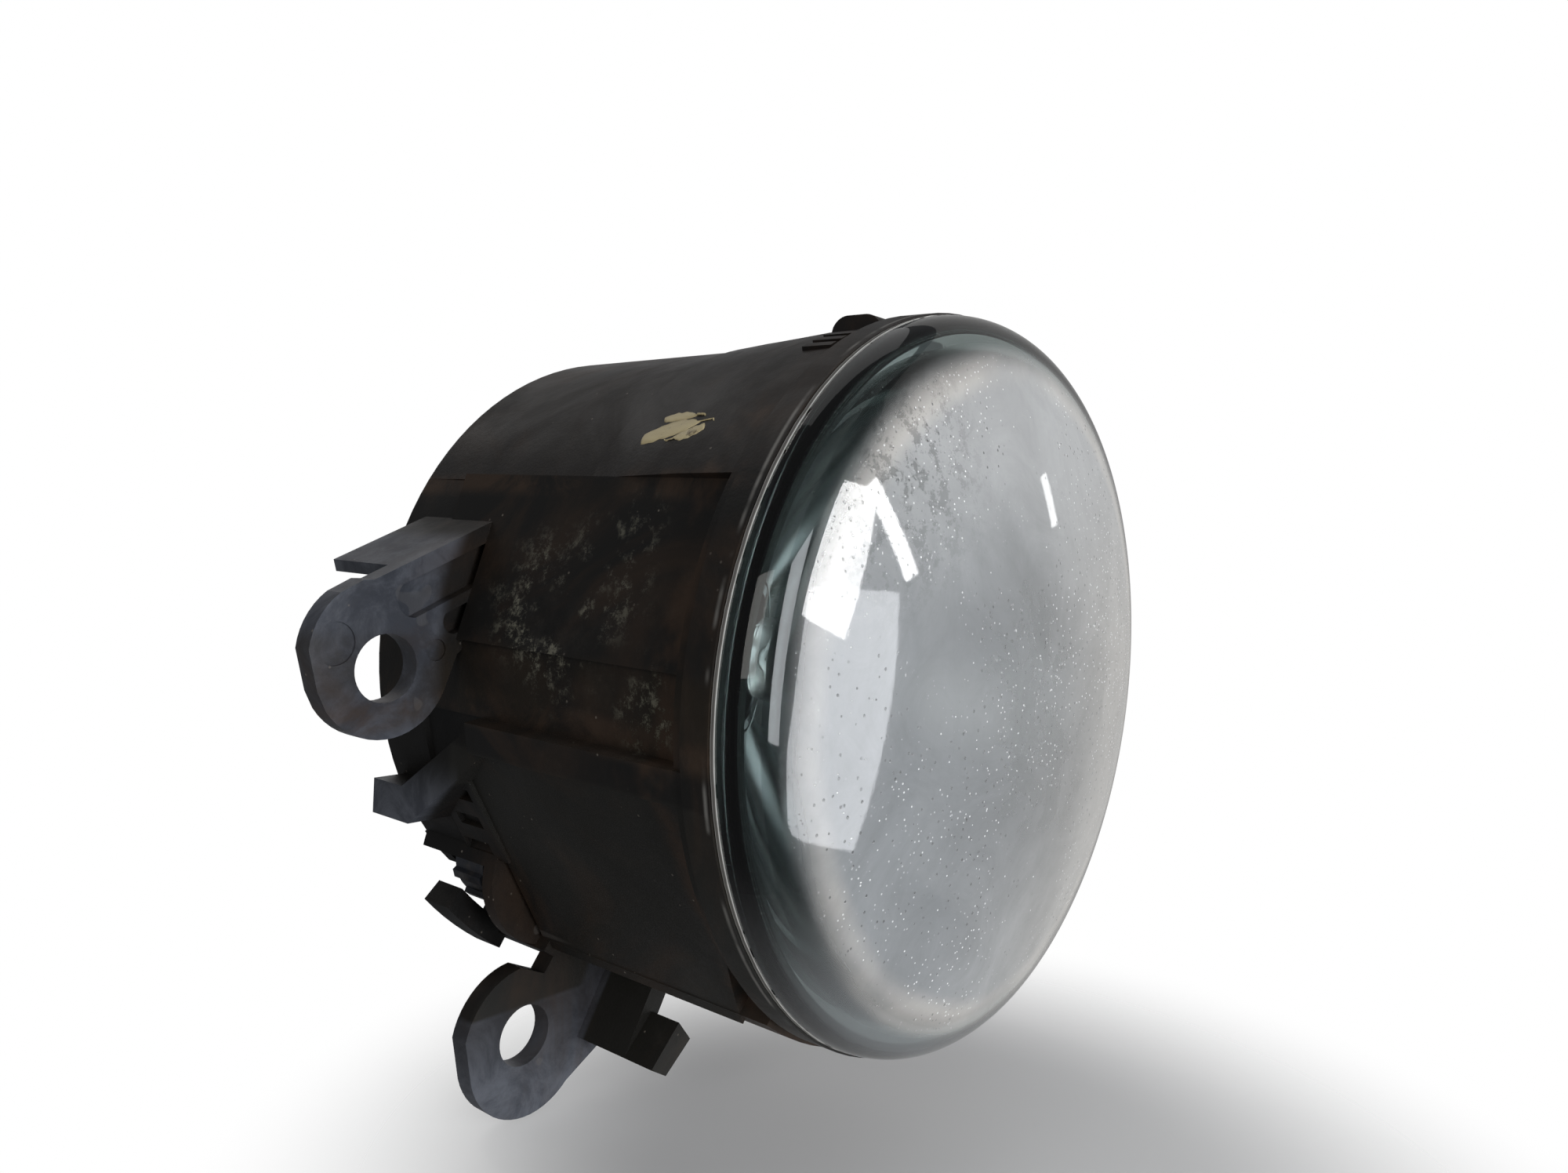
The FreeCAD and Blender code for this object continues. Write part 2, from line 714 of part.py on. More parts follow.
def make_reflector():
    """Aluminised bowl with a rim lip, two pivot arms and the adjuster lug."""
    body = new_body("reflector")
    for side, name in ((-1, "left_arm"), (1, "right_arm")):
        arm = [
            ("14", "-5"),
            ("filament_y", "-4.2"),
            ("filament_y + 4.2", "0", "4.2"),
            ("filament_y", "4.2", "4.2"),
            ("14", "5"),
        ]
        start = "-(arm_x + arm_thickness)" if side < 0 else "arm_x"
        pad(body, outline(body, name, "YZ_Plane", arm, start), "arm_thickness")
    lug = [
        ("34.0", "-12"),
        ("34.4", "-31.5"),
        ("42.4", "-31.5"),
        ("43.0", "-12"),
    ]
    lug_offset = "-(lug_x + lug_thickness)"
    pad(body, outline(body, "adjuster_lug", "YZ_Plane", lug, lug_offset), "lug_thickness")
    outer = bowl_points("reflector_wall * 1.25", "reflector_throat", "reflector_rim")
    bowl = [("0", "46.5"), ("reflector_throat", "46.5")]
    bowl += outer
    bowl += [
        ("reflector_rim + 0.8", "reflector_rim_y + 1.8"),
        ("reflector_rim + 0.8", "reflector_rim_y"),
        ("0", "reflector_rim_y"),
    ]
    revolve(body, outline(body, "bowl_outside", "XY_Plane", bowl))
    inner = [("0", "reflector_rim_y - 3"), ("0", "50"), ("reflector_throat - 1.2", "50")]
    inner += bowl_points("0", "reflector_throat - 1.2", "reflector_rim - 0.4")
    inner += [("reflector_rim - 0.4", "reflector_rim_y - 3")]
    groove(body, outline(body, "bowl_inside", "XY_Plane", inner))
    for side in (-1, 1):
        bore = round_outline(body, f"pin_bore_{side + 1}", "YZ_Plane", "filament_y", "0",
                             "pivot_pin", f"{side} * (arm_x - 1)")
        pocket(body, bore, "arm_thickness + 2", back=side > 0)
    slot = [
        ("filament_y - clip_half", "-adjuster_z - clip_below"),
        ("filament_y + clip_half", "-adjuster_z - clip_below"),
        ("filament_y + clip_half", "-adjuster_z + clip_above"),
        ("filament_y - clip_half", "-adjuster_z + clip_above"),
    ]
    pocket(body, outline(body, "clip_window", "YZ_Plane", slot, "-lug_x + 1"), "lug_thickness + 2")


def make_pivot_pins():
    """Two steel pins pressed through the reflector's arms."""
    pins = []
    for side, name in ((-1, "left_pin"), (1, "right_pin")):
        pin = doc.addObject("Part::Cylinder", name)
        pin.setExpression("Radius", bound("pivot_pin"))
        pin.setExpression("Height", bound("arm_thickness + 3.2"))
        start = "arm_x" if side > 0 else "-arm_x - arm_thickness - 3.2"
        pin.setExpression(".Placement.Base.x", bound(start))
        pin.setExpression(".Placement.Base.y", bound("filament_y"))
        pin.Placement.Rotation = FreeCAD.Rotation(FreeCAD.Vector(0, 1, 0), 90)
        pins.append(pin)
    group = doc.addObject("Part::Compound", "pivot_pins")
    group.Label = "pivot_pins"
    group.Links = pins
    SUB_PARTS.append(group)


def make_pivot_bushes():
    """Two nylon bushes pressed into the bosses on the housing's side walls."""
    for side, name in ((-1, "left_pivot_bush"), (1, "right_pivot_bush")):
        body = new_body(name)
        sketch = round_outline(body, name + "_outside", "YZ_Plane", "filament_y", "0",
                               "pivot_bush", f"{side} * 36")
        pad(body, sketch, "3", back=side < 0)
        bore = round_outline(body, name + "_bore", "YZ_Plane", "filament_y", "0",
                             "pivot_pin + pivot_play", f"{side} * 36")
        pocket(body, bore, "3", back=side > 0)


# --- beam adjuster ---------------------------------------------------------------------------

def make_adjuster_screw():
    """Steel shaft that carries the adjusting thread and passes out through the seal."""
    body = new_body("adjuster_screw")
    sections = [
        ("screw_front", "adjuster_shaft - 0.5", "0.6"),
        ("screw_front + 0.6", "adjuster_shaft", "screw_end - screw_front - 0.6"),
    ]
    for index, (front, radius, length) in enumerate(sections):
        rod(body, f"shaft_{index}", "-adjuster_x", "-adjuster_z", radius, front, length)


def make_adjuster_washer():
    """Push-on washer that keeps the screw from moving back out of the housing."""
    body = new_body("adjuster_washer")
    front = "pocket_front - pocket_wall - 1.1"
    rod(body, "washer_disc", "-adjuster_x", "-adjuster_z", "nut_radius", front,
        "washer_thickness")
    rod(body, "washer_bore", "-adjuster_x", "-adjuster_z", "adjuster_shaft", f"{front} - 1", "3",
        cut=True)


def make_adjuster_seal():
    """O-ring in its seat round the screw."""
    ring = doc.addObject("Part::Torus", "adjuster_seal")
    ring.Label = "adjuster_seal"
    ring.setExpression("Radius1", bound("adjuster_shaft + adjuster_play + seal_wire"))
    ring.setExpression("Radius2", bound("seal_wire"))
    ring.setExpression(".Placement.Base.x", bound("-adjuster_x"))
    ring.setExpression(".Placement.Base.y", bound("pocket_front - 0.3"))
    ring.setExpression(".Placement.Base.z", bound("-adjuster_z"))
    ring.Placement.Rotation = FreeCAD.Rotation(FreeCAD.Vector(1, 0, 0), 90)
    SUB_PARTS.append(ring)


def make_adjuster_gear():
    """Crown gear turned by a cross-head screwdriver laid across its teeth."""
    body = new_body("adjuster_gear")
    rod(body, "gear_disc", "-adjuster_x", "-adjuster_z", "gear_root", "gear_start",
        "gear_end - gear_start")
    rod(body, "gear_boss", "-adjuster_x", "-adjuster_z", "gear_boss", "pocket_front + 1.0",
        "gear_start - pocket_front - 1.0")
    rod(body, "gear_hub", "-adjuster_x", "-adjuster_z", "gear_hub", "gear_end",
        "gear_hub_end - gear_end")
    teeth = int(DIMENSIONS["gear_teeth"])
    for tooth in range(teeth):
        turn = f"{tooth} * 360 / gear_teeth"
        corners = [("gear_root - 0.6", -10), ("gear_radius", -5), ("gear_radius", 5),
                   ("gear_root - 0.6", 10)]
        block = []
        for radius, swing in corners:
            x, z = polar(radius, f"({turn} + {swing})")
            block.append((f"{x} - adjuster_x", f"{z} - adjuster_z"))
        prism(body, f"gear_tooth_{tooth}", block, "gear_start", "gear_end - gear_start")
    rod(body, "gear_bore", "-adjuster_x", "-adjuster_z", "adjuster_shaft", "pocket_front - 1",
        "screw_end - pocket_front + 1", cut=True)
    hexagon = []
    for corner in range(6):
        x, z = polar("drive_radius", f"{60 * corner}")
        hexagon.append((f"{x} - adjuster_x", f"{z} - adjuster_z"))
    prism(body, "gear_drive", hexagon, "screw_end + 0.4", "6", cut=True)


def make_adjuster_nut():
    """Nut that the screw drives to and fro, with a pin that works the reflector's lug."""
    body = new_body("adjuster_nut")
    front = "filament_y - nut_length / 2"
    rod(body, "nut_block", "-adjuster_x", "-adjuster_z", "nut_radius", front, "nut_length")
    arm = round_outline(body, "nut_pin", "YZ_Plane", "filament_y", "-adjuster_z", "ball_pin",
                        "-adjuster_x + nut_radius - 1")
    pad(body, arm, "adjuster_x - nut_radius + 1 - lug_x + 1.2")
    rod(body, "nut_bore", "-adjuster_x", "-adjuster_z", "adjuster_shaft + adjuster_play",
        f"{front} - 1", "nut_length + 2", cut=True)


def make_lug_clip():
    """Plastic clip snapped into the reflector's lug, with the slot that takes the nut's pin."""
    body = new_body("lug_clip")
    frame = [
        ("filament_y - clip_half", "-adjuster_z - clip_below"),
        ("filament_y + clip_half", "-adjuster_z - clip_below"),
        ("filament_y + clip_half", "-adjuster_z + clip_above"),
        ("filament_y - clip_half", "-adjuster_z + clip_above"),
    ]
    offset = "-(lug_x + lug_thickness)"
    pad(body, outline(body, "clip_frame", "YZ_Plane", frame, offset), "lug_thickness")
    half = "(ball_pin + slot_play)"
    slot = [
        (f"filament_y - {half}", "-adjuster_z - 0.4"),
        ("filament_y", f"-adjuster_z - 0.4 - {half}", half),
        (f"filament_y + {half}", "-adjuster_z - 0.4", half),
        (f"filament_y + {half}", "-adjuster_z + 2.2"),
        (f"filament_y - {half}", "-adjuster_z + 2.2"),
    ]
    pocket(body, outline(body, "clip_slot", "YZ_Plane", slot, "-lug_x + 1"), "lug_thickness + 2")


# --- bulb ------------------------------------------------------------------------------------

def make_bulb_glass():
    """Quartz capsule with a round nose and a flat pinch."""
    body = new_body("bulb_glass")
    section = [
        ("0", "capsule_nose"),
        ("capsule_radius", "capsule_nose + capsule_radius", "capsule_radius"),
        ("capsule_radius", "49.4"),
        ("4.2", "52.0"),
        ("4.2", "base_front"),
        ("4.2 - capsule_wall", "base_front"),
        ("4.2 - capsule_wall", "51.4"),
        ("capsule_radius - capsule_wall", "48.6"),
        ("capsule_radius - capsule_wall", "capsule_nose + capsule_radius"),
        ("0", "capsule_nose + capsule_wall", "capsule_wall - capsule_radius"),
    ]
    revolve(body, outline(body, "glass_section", "XY_Plane", section))
    pinch = [
        ("-3.4", "-1.2"),
        ("3.4", "-1.2"),
        ("3.4", "1.2"),
        ("-3.4", "1.2"),
    ]
    prism(body, "glass_pinch", pinch, "pinch_front", "base_front - pinch_front")


def make_bulb_filament():
    """Coiled filament on its axis, as the closed outside of the coil."""
    body = new_body("bulb_filament")
    rod(body, "coil", "0", "0", "coil_radius", "filament_y - coil_length / 2", "coil_length")
    rod(body, "coil_bore", "0", "0", "coil_bore", "filament_y - coil_length / 2 - 1",
        "coil_length + 2", cut=True)


def make_bulb_leads():
    """Two molybdenum lead wires from the pinch to the ends of the filament."""
    wires = []
    wire = number("lead_radius")
    routes = (
        [(1.6, 0, 50.3), (2.6, 0, 44.0), (2.6, 0, 36.15), (0.62, 0, 36.15)],
        [(-1.6, 0, 50.3), (-2.2, 0, 46.5), (-0.62, 0, 41.45)],
    )
    for route in routes:
        points = [FreeCAD.Vector(x, y, z) for x, z, y in route]
        pieces = [Part.makeSphere(wire, point) for point in points]
        for start, end in zip(points, points[1:]):
            pieces.append(Part.makeCylinder(wire, (end - start).Length, start, end - start))
        wires.append(pieces[0].multiFuse(pieces[1:]).removeSplitter())
    leads = doc.addObject("Part::Feature", "bulb_leads")
    leads.Label = "bulb_leads"
    leads.Shape = Part.makeCompound(wires)
    SUB_PARTS.append(leads)


def make_bulb_sleeve():
    """Metal sleeve that holds the capsule in the plastic base."""
    body = new_body("bulb_sleeve")
    section = [
        ("4.2", "52.6"),
        ("7.4", "52.6"),
        ("7.8", "53.0"),
        ("7.8", "base_front"),
        ("4.2", "base_front"),
    ]
    revolve(body, outline(body, "sleeve_section", "XY_Plane", section))


def make_bulb_base():
    """Plastic base with three bayonet tabs and a side-facing connector shroud."""
    body = new_body("bulb_base")
    flange_front = "socket_rear + 0.1"
    nose = [
        ("0", "base_front"),
        ("bulb_nose_radius", "base_front"),
        ("bulb_nose_radius", "60.6"),
        ("bulb_nose_radius - 1", "60.6"),
        ("bulb_nose_radius - 1", "62.4"),
        ("bulb_nose_radius", "62.4"),
        ("bulb_nose_radius", flange_front),
        ("bulb_flange_radius", flange_front),
        ("bulb_flange_radius", "base_rear - base_edge"),
        ("bulb_flange_radius - base_edge", "base_rear"),
        ("0", "base_rear"),
    ]
    revolve(body, outline(body, "base_section", "XY_Plane", nose))
    for key in range(3):
        middle = f"{120 * key}"
        tab = sector("bulb_nose_radius - 1", "bulb_tab_radius", f"{middle} - bulb_tab_angle / 2",
                     f"{middle} + bulb_tab_angle / 2")
        prism(body, f"bayonet_tab_{key}", tab, "base_front", "1.2")
    tower = [
        ("-9.0", "-9.0"),
        ("-6.0", "9.0"),
        ("6.0", "9.0"),
        ("9.0", "-9.0"),
    ]
    prism(body, "base_tower", tower, "67.0", "tower_length")
    shroud = [
        ("shroud_front", "-shroud_bottom"),
        ("shroud_rear", "-shroud_bottom"),
        ("shroud_rear", "-6.0"),
        ("shroud_front", "-6.0"),
    ]
    pad(body, outline(body, "shroud_outside", "YZ_Plane", shroud, "-shroud_half"), "2 * shroud_half")
    hollow_space = [
        ("shroud_front + shroud_wall", "-shroud_bottom - 1"),
        ("shroud_rear - shroud_wall", "-shroud_bottom - 1"),
        ("shroud_rear - shroud_wall", "-9.5"),
        ("shroud_front + shroud_wall", "-9.5"),
    ]
    inside_half = "(shroud_half - shroud_wall)"
    inside = outline(body, "shroud_inside", "YZ_Plane", hollow_space, inside_half)
    pocket(body, inside, f"2 * {inside_half}")
    latch = [
        ("81.3", "-20.0"),
        ("83.0", "-17.0"),
        ("83.0", "-15.0"),
        ("81.3", "-15.0"),
    ]
    pad(body, outline(body, "latch_ramp", "YZ_Plane", latch, "-2.5"), "5")


def make_bulb_seal():
    """O-ring in the groove of the bulb base."""
    ring = doc.addObject("Part::Torus", "bulb_seal")
    ring.Label = "bulb_seal"
    ring.setExpression("Radius1", bound("bulb_nose_radius - 0.15"))
    ring.setExpression("Radius2", bound("bulb_seal_wire"))
    ring.Placement.Rotation = FreeCAD.Rotation(FreeCAD.Vector(1, 0, 0), 90)
    ring.setExpression(".Placement.Base.y", bound("bulb_seal_y"))
    SUB_PARTS.append(ring)


def make_bulb_terminals():
    """Two flat blades inside the connector shroud."""
    blades = []
    for side in (-1, 1):
        blade = doc.addObject("Part::Box", f"blade_{side + 1}")
        blade.setExpression("Length", bound("blade_width"))
        blade.setExpression("Width", bound("blade_thickness"))
        blade.setExpression("Height", bound("blade_length"))
        middle = "(shroud_front + shroud_rear) / 2"
        blade.setExpression(".Placement.Base.x", bound(f"{side} * blade_x - blade_width / 2"))
        blade.setExpression(".Placement.Base.y", bound(f"{middle} - blade_thickness / 2"))
        blade.setExpression(".Placement.Base.z", bound("-blade_bottom"))
        blades.append(blade)
    group = doc.addObject("Part::Compound", "bulb_terminals")
    group.Label = "bulb_terminals"
    group.Links = blades
    SUB_PARTS.append(group)


def make_vent_patch():
    """Breathable round patch over the vent hole."""
    patch = doc.addObject("Part::Cylinder", "vent_patch")
    patch.Label = "vent_patch"
    patch.setExpression("Radius", bound("vent_radius"))
    patch.setExpression("Height", bound("vent_patch_thickness"))
    patch.Placement.Rotation = FreeCAD.Rotation(FreeCAD.Vector(1, 0, 0), -90)
    patch.setExpression(".Placement.Base.x", bound("vent_x"))
    patch.setExpression(".Placement.Base.y", bound("housing_depth + 0.6"))
    patch.setExpression(".Placement.Base.z", bound("vent_z"))
    SUB_PARTS.append(patch)


make_housing()
make_lens()
make_lens_adhesive()
make_reflector()
make_pivot_pins()
make_pivot_bushes()
make_adjuster_screw()
make_adjuster_washer()
make_adjuster_seal()
make_adjuster_gear()
make_adjuster_nut()
make_lug_clip()
make_bulb_glass()
make_bulb_filament()
make_bulb_leads()
make_bulb_sleeve()
make_bulb_base()
make_bulb_seal()
make_bulb_terminals()
make_vent_patch()

doc.recompute()
for item in doc.Objects:
    if "Invalid" in item.State or "Error" in item.State:
        raise RuntimeError(f"{item.Name} is {item.State}")
os.makedirs("parts", exist_ok=True)
for part in SUB_PARTS:
    if part.Shape.isNull() or not part.Shape.isValid():
        raise RuntimeError(f"{part.Label} has no valid shape")
    part.Shape.exportStep(f"parts/{part.Label}.step")
    print(f"{part.Label}: {len(part.Shape.Solids)} solid(s), {part.Shape.Volume:.1f} mm3")
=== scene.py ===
import math

import bmesh
import bpy
from mathutils import Matrix, Quaternion, Vector, noise


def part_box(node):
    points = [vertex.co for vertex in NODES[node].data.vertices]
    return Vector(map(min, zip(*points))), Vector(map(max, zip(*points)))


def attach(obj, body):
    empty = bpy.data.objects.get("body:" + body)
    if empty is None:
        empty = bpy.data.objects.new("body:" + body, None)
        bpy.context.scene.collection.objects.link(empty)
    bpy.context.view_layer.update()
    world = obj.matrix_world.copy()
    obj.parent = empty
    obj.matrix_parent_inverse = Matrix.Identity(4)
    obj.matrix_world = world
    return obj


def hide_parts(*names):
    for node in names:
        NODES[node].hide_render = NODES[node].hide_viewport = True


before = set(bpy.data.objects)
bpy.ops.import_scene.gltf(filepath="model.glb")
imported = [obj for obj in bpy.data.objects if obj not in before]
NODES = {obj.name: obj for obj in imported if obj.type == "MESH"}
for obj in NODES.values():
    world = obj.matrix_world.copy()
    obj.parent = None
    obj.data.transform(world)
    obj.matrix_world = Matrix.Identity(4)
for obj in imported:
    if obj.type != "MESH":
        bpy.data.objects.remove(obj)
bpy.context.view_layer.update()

# Looks of the round fog light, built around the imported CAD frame. Metres, row frame:
# X to the right of someone facing the lens, Y back into the car, Z up. A clock angle is in
# degrees about the optical axis, 0 up and positive to the right.

MM = 0.001
ROUND_STEPS = 256
ON_AXIS = 2e-6
WELD = 1e-7

LENS_LO, LENS_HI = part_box("lens")
LENS_R = LENS_HI.x
LENS_FRONT = LENS_LO.y
HOUSING_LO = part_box("housing")[0]


# --- shader helper ---------------------------------------------------------------------------

class Finish:
    """A node material read in the row frame: every pattern is placed by object coordinates."""

    def __init__(self, name):
        self.material = bpy.data.materials.new(name)
        self.material.use_nodes = True
        self.tree = self.material.node_tree
        self.tree.nodes.clear()
        self.output = self.node("ShaderNodeOutputMaterial")
        self.place = self.node("ShaderNodeTexCoord").outputs["Object"]
        self.x, self.y, self.z = self.split(self.place)

    def node(self, kind, inputs=None, **settings):
        made = self.tree.nodes.new(kind)
        for key, value in settings.items():
            setattr(made, key, value)
        for key, value in (inputs or {}).items():
            self.put(made.inputs[key], value)
        return made

    def put(self, socket, value):
        """Link a socket to an output, or set it. Colours are given without alpha."""
        if isinstance(value, bpy.types.NodeSocket):
            self.tree.links.new(value, socket)
        elif socket.type == "RGBA":
            socket.default_value = (*value, 1.0)
        else:
            socket.default_value = value

    def split(self, vector):
        return self.node("ShaderNodeSeparateXYZ", {"Vector": vector}).outputs

    def math(self, operation, a, b=0.0, clamp=False):
        return self.node("ShaderNodeMath", {0: a, 1: b}, operation=operation, use_clamp=clamp).outputs[0]

    def times(self, a, b, clamp=False):
        return self.math("MULTIPLY", a, b, clamp)

    def plus(self, a, b, clamp=False):
        return self.math("ADD", a, b, clamp)

    def minus(self, a, b, clamp=False):
        return self.math("SUBTRACT", a, b, clamp)

    def rest(self, mask):
        """What a mask leaves free."""
        return self.minus(1.0, mask)

    def stretched(self, stretch):
        """Object coordinates, scaled along each axis if a stretch is given."""
        if stretch is None:
            return self.place
        return self.node("ShaderNodeMapping", {"Vector": self.place, "Scale": stretch}).outputs[0]

    def noise(self, scale, detail=4.0, rough=0.6, stretch=None, warp=0.0):
        inputs = {"Vector": self.stretched(stretch), "Scale": scale, "Detail": detail,
                  "Roughness": rough, "Distortion": warp}
        return self.node("ShaderNodeTexNoise", inputs).outputs["Fac"]

    def cells(self, scale, stretch=None):
        """Distance to the nearest of a scatter of points."""
        inputs = {"Vector": self.stretched(stretch), "Scale": scale}
        return self.node("ShaderNodeTexVoronoi", inputs).outputs["Distance"]

    def range(self, value, low, high, to_low=0.0, to_high=1.0):
        """Smooth step from to_low where the value is low to to_high where it is high."""
        inputs = {"Value": value, "From Min": low, "From Max": high, "To Min": to_low, "To Max": to_high}
        return self.node("ShaderNodeMapRange", inputs, interpolation_type="SMOOTHSTEP").outputs["Result"]

    def edge(self, value, at, soft):
        """0 below a limit and 1 above it."""
        return self.range(value, at - soft, at + soft)

    def band(self, value, low, high, soft):
        """1 between two limits."""
        return self.times(self.edge(value, low, soft), self.range(value, high - soft, high + soft, 1.0, 0.0))

    def spot(self, centre, radius, soft=0.6):
        """1 near a point of the row frame, 0 beyond the radius."""
        apart = self.node("ShaderNodeVectorMath", {0: self.place, 1: centre}, operation="DISTANCE")
        return self.range(apart.outputs["Value"], radius * (1 - soft), radius * (1 + soft), 1.0, 0.0)

    def scatter(self, scale, size, patch, kept, stretch=None, detail=3):
        """Grains of one size, thick in places and missing in others."""
        grains = self.range(self.cells(scale, stretch), *size)
        return self.times(grains, self.range(self.noise(patch, detail), *kept))

    def mix(self, share, a, b):
        """Colour a where the share is 0 and b where it is 1."""
        inputs = {"Factor": share, "A": a, "B": b}
        return self.node("ShaderNodeMix", inputs, data_type="RGBA").outputs["Result"]

    def over(self, base, mask, share, colour):
        """A colour laid over the base, as strongly as the mask times the share."""
        return self.mix(self.times(mask, share), base, colour)

    def clock(self):
        return self.times(self.math("ARCTAN2", self.x, self.z), 180 / math.pi)

    def radius(self):
        return self.math("SQRT", self.plus(self.times(self.x, self.x), self.times(self.z, self.z)))

    def bump(self, height, distance, strength=1.0, under=None):
        made = self.node("ShaderNodeBump", {"Height": height, "Distance": distance, "Strength": strength})
        if under is not None:
            self.put(made.inputs["Normal"], under)
        return made.outputs["Normal"]

    def principled(self, **inputs):
        """Principled shader; an underscore stands for each space in an input's name."""
        keys = {key.replace("_", " "): value for key, value in inputs.items()}
        return self.node("ShaderNodeBsdfPrincipled", keys)

    def finish(self, shader):
        self.tree.links.new(shader.outputs[0], self.output.inputs["Surface"])
        return self.material

    def finish_mixed(self, share, a, b):
        """End in shader a where the share is 0 and in shader b where it is 1."""
        return self.finish(self.node("ShaderNodeMixShader", {0: share, 1: a.outputs[0], 2: b.outputs[0]}))


# --- housing plastic -------------------------------------------------------------------------

# clock angles
DOME_EDGE = -58.0
FLANK = (-100.0, -60.0)
FLANK_MIDDLE = -77.5
SEAMS_FROM_MIDDLE = (16.6, 20.2)
OILY_STRIP = (-98.0, -86.0)
LOW_PANEL = -102.5
GUARD = (-156.0, -126.0)
# places and sizes
COLLAR_EDGE = (0.3 * MM, 0.7 * MM)
COLLAR_LEDGE = (4.5 * MM, 9.8 * MM)
LOW_PANEL_REAR = 42.5 * MM
EAR_ROOT_R = 45.0 * MM
EAR_FRONT = 41.0 * MM
GUARD_BOTTOM = -44.5 * MM
ADJUSTER_RECESS = (-28.5 * MM, 52.0 * MM, -33.0 * MM)
RECESS_SIZE = 13.5 * MM
CRUSTS = (((-41.8 * MM, 20.0 * MM, 12.5 * MM), 6.5 * MM), ((-42.0 * MM, 30.0 * MM, 9.0 * MM), 6.5 * MM),
          ((-42.0 * MM, 25.0 * MM, 4.0 * MM), 6.0 * MM), ((-41.8 * MM, 11.0 * MM, -0.8 * MM), 4.2 * MM),
          ((-39.5 * MM, 18.0 * MM, 16.5 * MM), 4.0 * MM))
# colours
FLANK_BLACK = (0.0085, 0.0078, 0.0070)
DOME_BLACK = (0.015, 0.0125, 0.0112)
PANEL_BLACK = (0.0165, 0.0155, 0.0130)
# the ears' blue-grey, lighter than the shell, is a painted sheen
EAR_SHEEN_DARK, EAR_SHEEN_PALE = (0.055, 0.060, 0.074), (0.120, 0.128, 0.150)
ROOT_SHADE = (0.020, 0.018, 0.018)
# painted shade: near-black laid over the adjuster's recess
RECESS_PAINTED_SHADE = (0.0045, 0.0040, 0.0036)
OIL = (0.028, 0.020, 0.012)
RUST_FILM = (0.050, 0.029, 0.017)
LEDGE_FILM = (0.060, 0.034, 0.020)
SEAM_FILM = (0.070, 0.042, 0.026)
CRUST_PALE = (0.23, 0.22, 0.17)
DUST_BROWN = (0.16, 0.14, 0.12)
SETTLED_BROWN = (0.13, 0.105, 0.085)
SPECK_PALE = (0.35, 0.31, 0.26)
SCRATCH_GREY = (0.30, 0.28, 0.26)
BARE_EDGE = (0.30, 0.29, 0.27)


def ear_mask(f, clock):
    """1 on the three ears, outside the shell at its rear, and 0 on the guard beside the low one."""
    ears = f.times(f.edge(f.radius(), EAR_ROOT_R, 1.2 * MM), f.edge(f.y, EAR_FRONT, 0.5 * MM))
    guard = f.times(f.band(clock, *GUARD, 1.5), f.edge(f.z, GUARD_BOTTOM, 0.5 * MM))
    return f.times(ears, f.rest(guard))


def low_root_mask(f, ears):
    """1 on the upper part of the low ear, in the shade of the shell."""
    return f.times(f.times(ears, f.range(f.z, -56.0 * MM, -43.0 * MM)), f.range(f.z, -30.0 * MM, -36.0 * MM))


def crust_mask(f):
    """1 in the mineral crusts of the flank: a few patches, broken up by clumps and by grain."""
    patches = 0.0
    for place, size in CRUSTS:
        patches = f.plus(patches, f.spot(place, size))
    grains = f.range(f.noise(430, 8, 0.85), 0.50, 0.60)
    clumps = f.range(f.noise(110, 5, 0.65), 0.44, 0.56)
    return f.times(f.times(patches, grains, clamp=True), clumps, clamp=True)


def settled_mask(f):
    """1 where dust settles on what faces up."""
    up = f.split(f.node("ShaderNodeNewGeometry").outputs["Normal"])["Z"]
    return f.times(f.range(up, 0.55, 0.97), f.range(f.noise(120, 6, 0.7), 0.30, 0.62))


def moulded_colour(f, clock, ears):
    """The plastic itself: three blacks on the shell, and blue-grey ears lighter than the shell, a painted
    sheen mottled by noise.
    """
    low_panel = f.times(f.rest(f.edge(clock, LOW_PANEL, 0.5)),
                        f.rest(f.edge(f.y, LOW_PANEL_REAR, 0.5 * MM)))
    # painted sheen: the ears lighter and blue-grey, mottled by noise
    painted_sheen = f.mix(f.range(f.noise(130, 6, 0.72, warp=0.5), 0.36, 0.64), EAR_SHEEN_DARK, EAR_SHEEN_PALE)
    shell = f.mix(low_panel, f.mix(f.edge(clock, DOME_EDGE, 0.5), FLANK_BLACK, DOME_BLACK), PANEL_BLACK)
    return f.mix(ears, shell, painted_sheen)


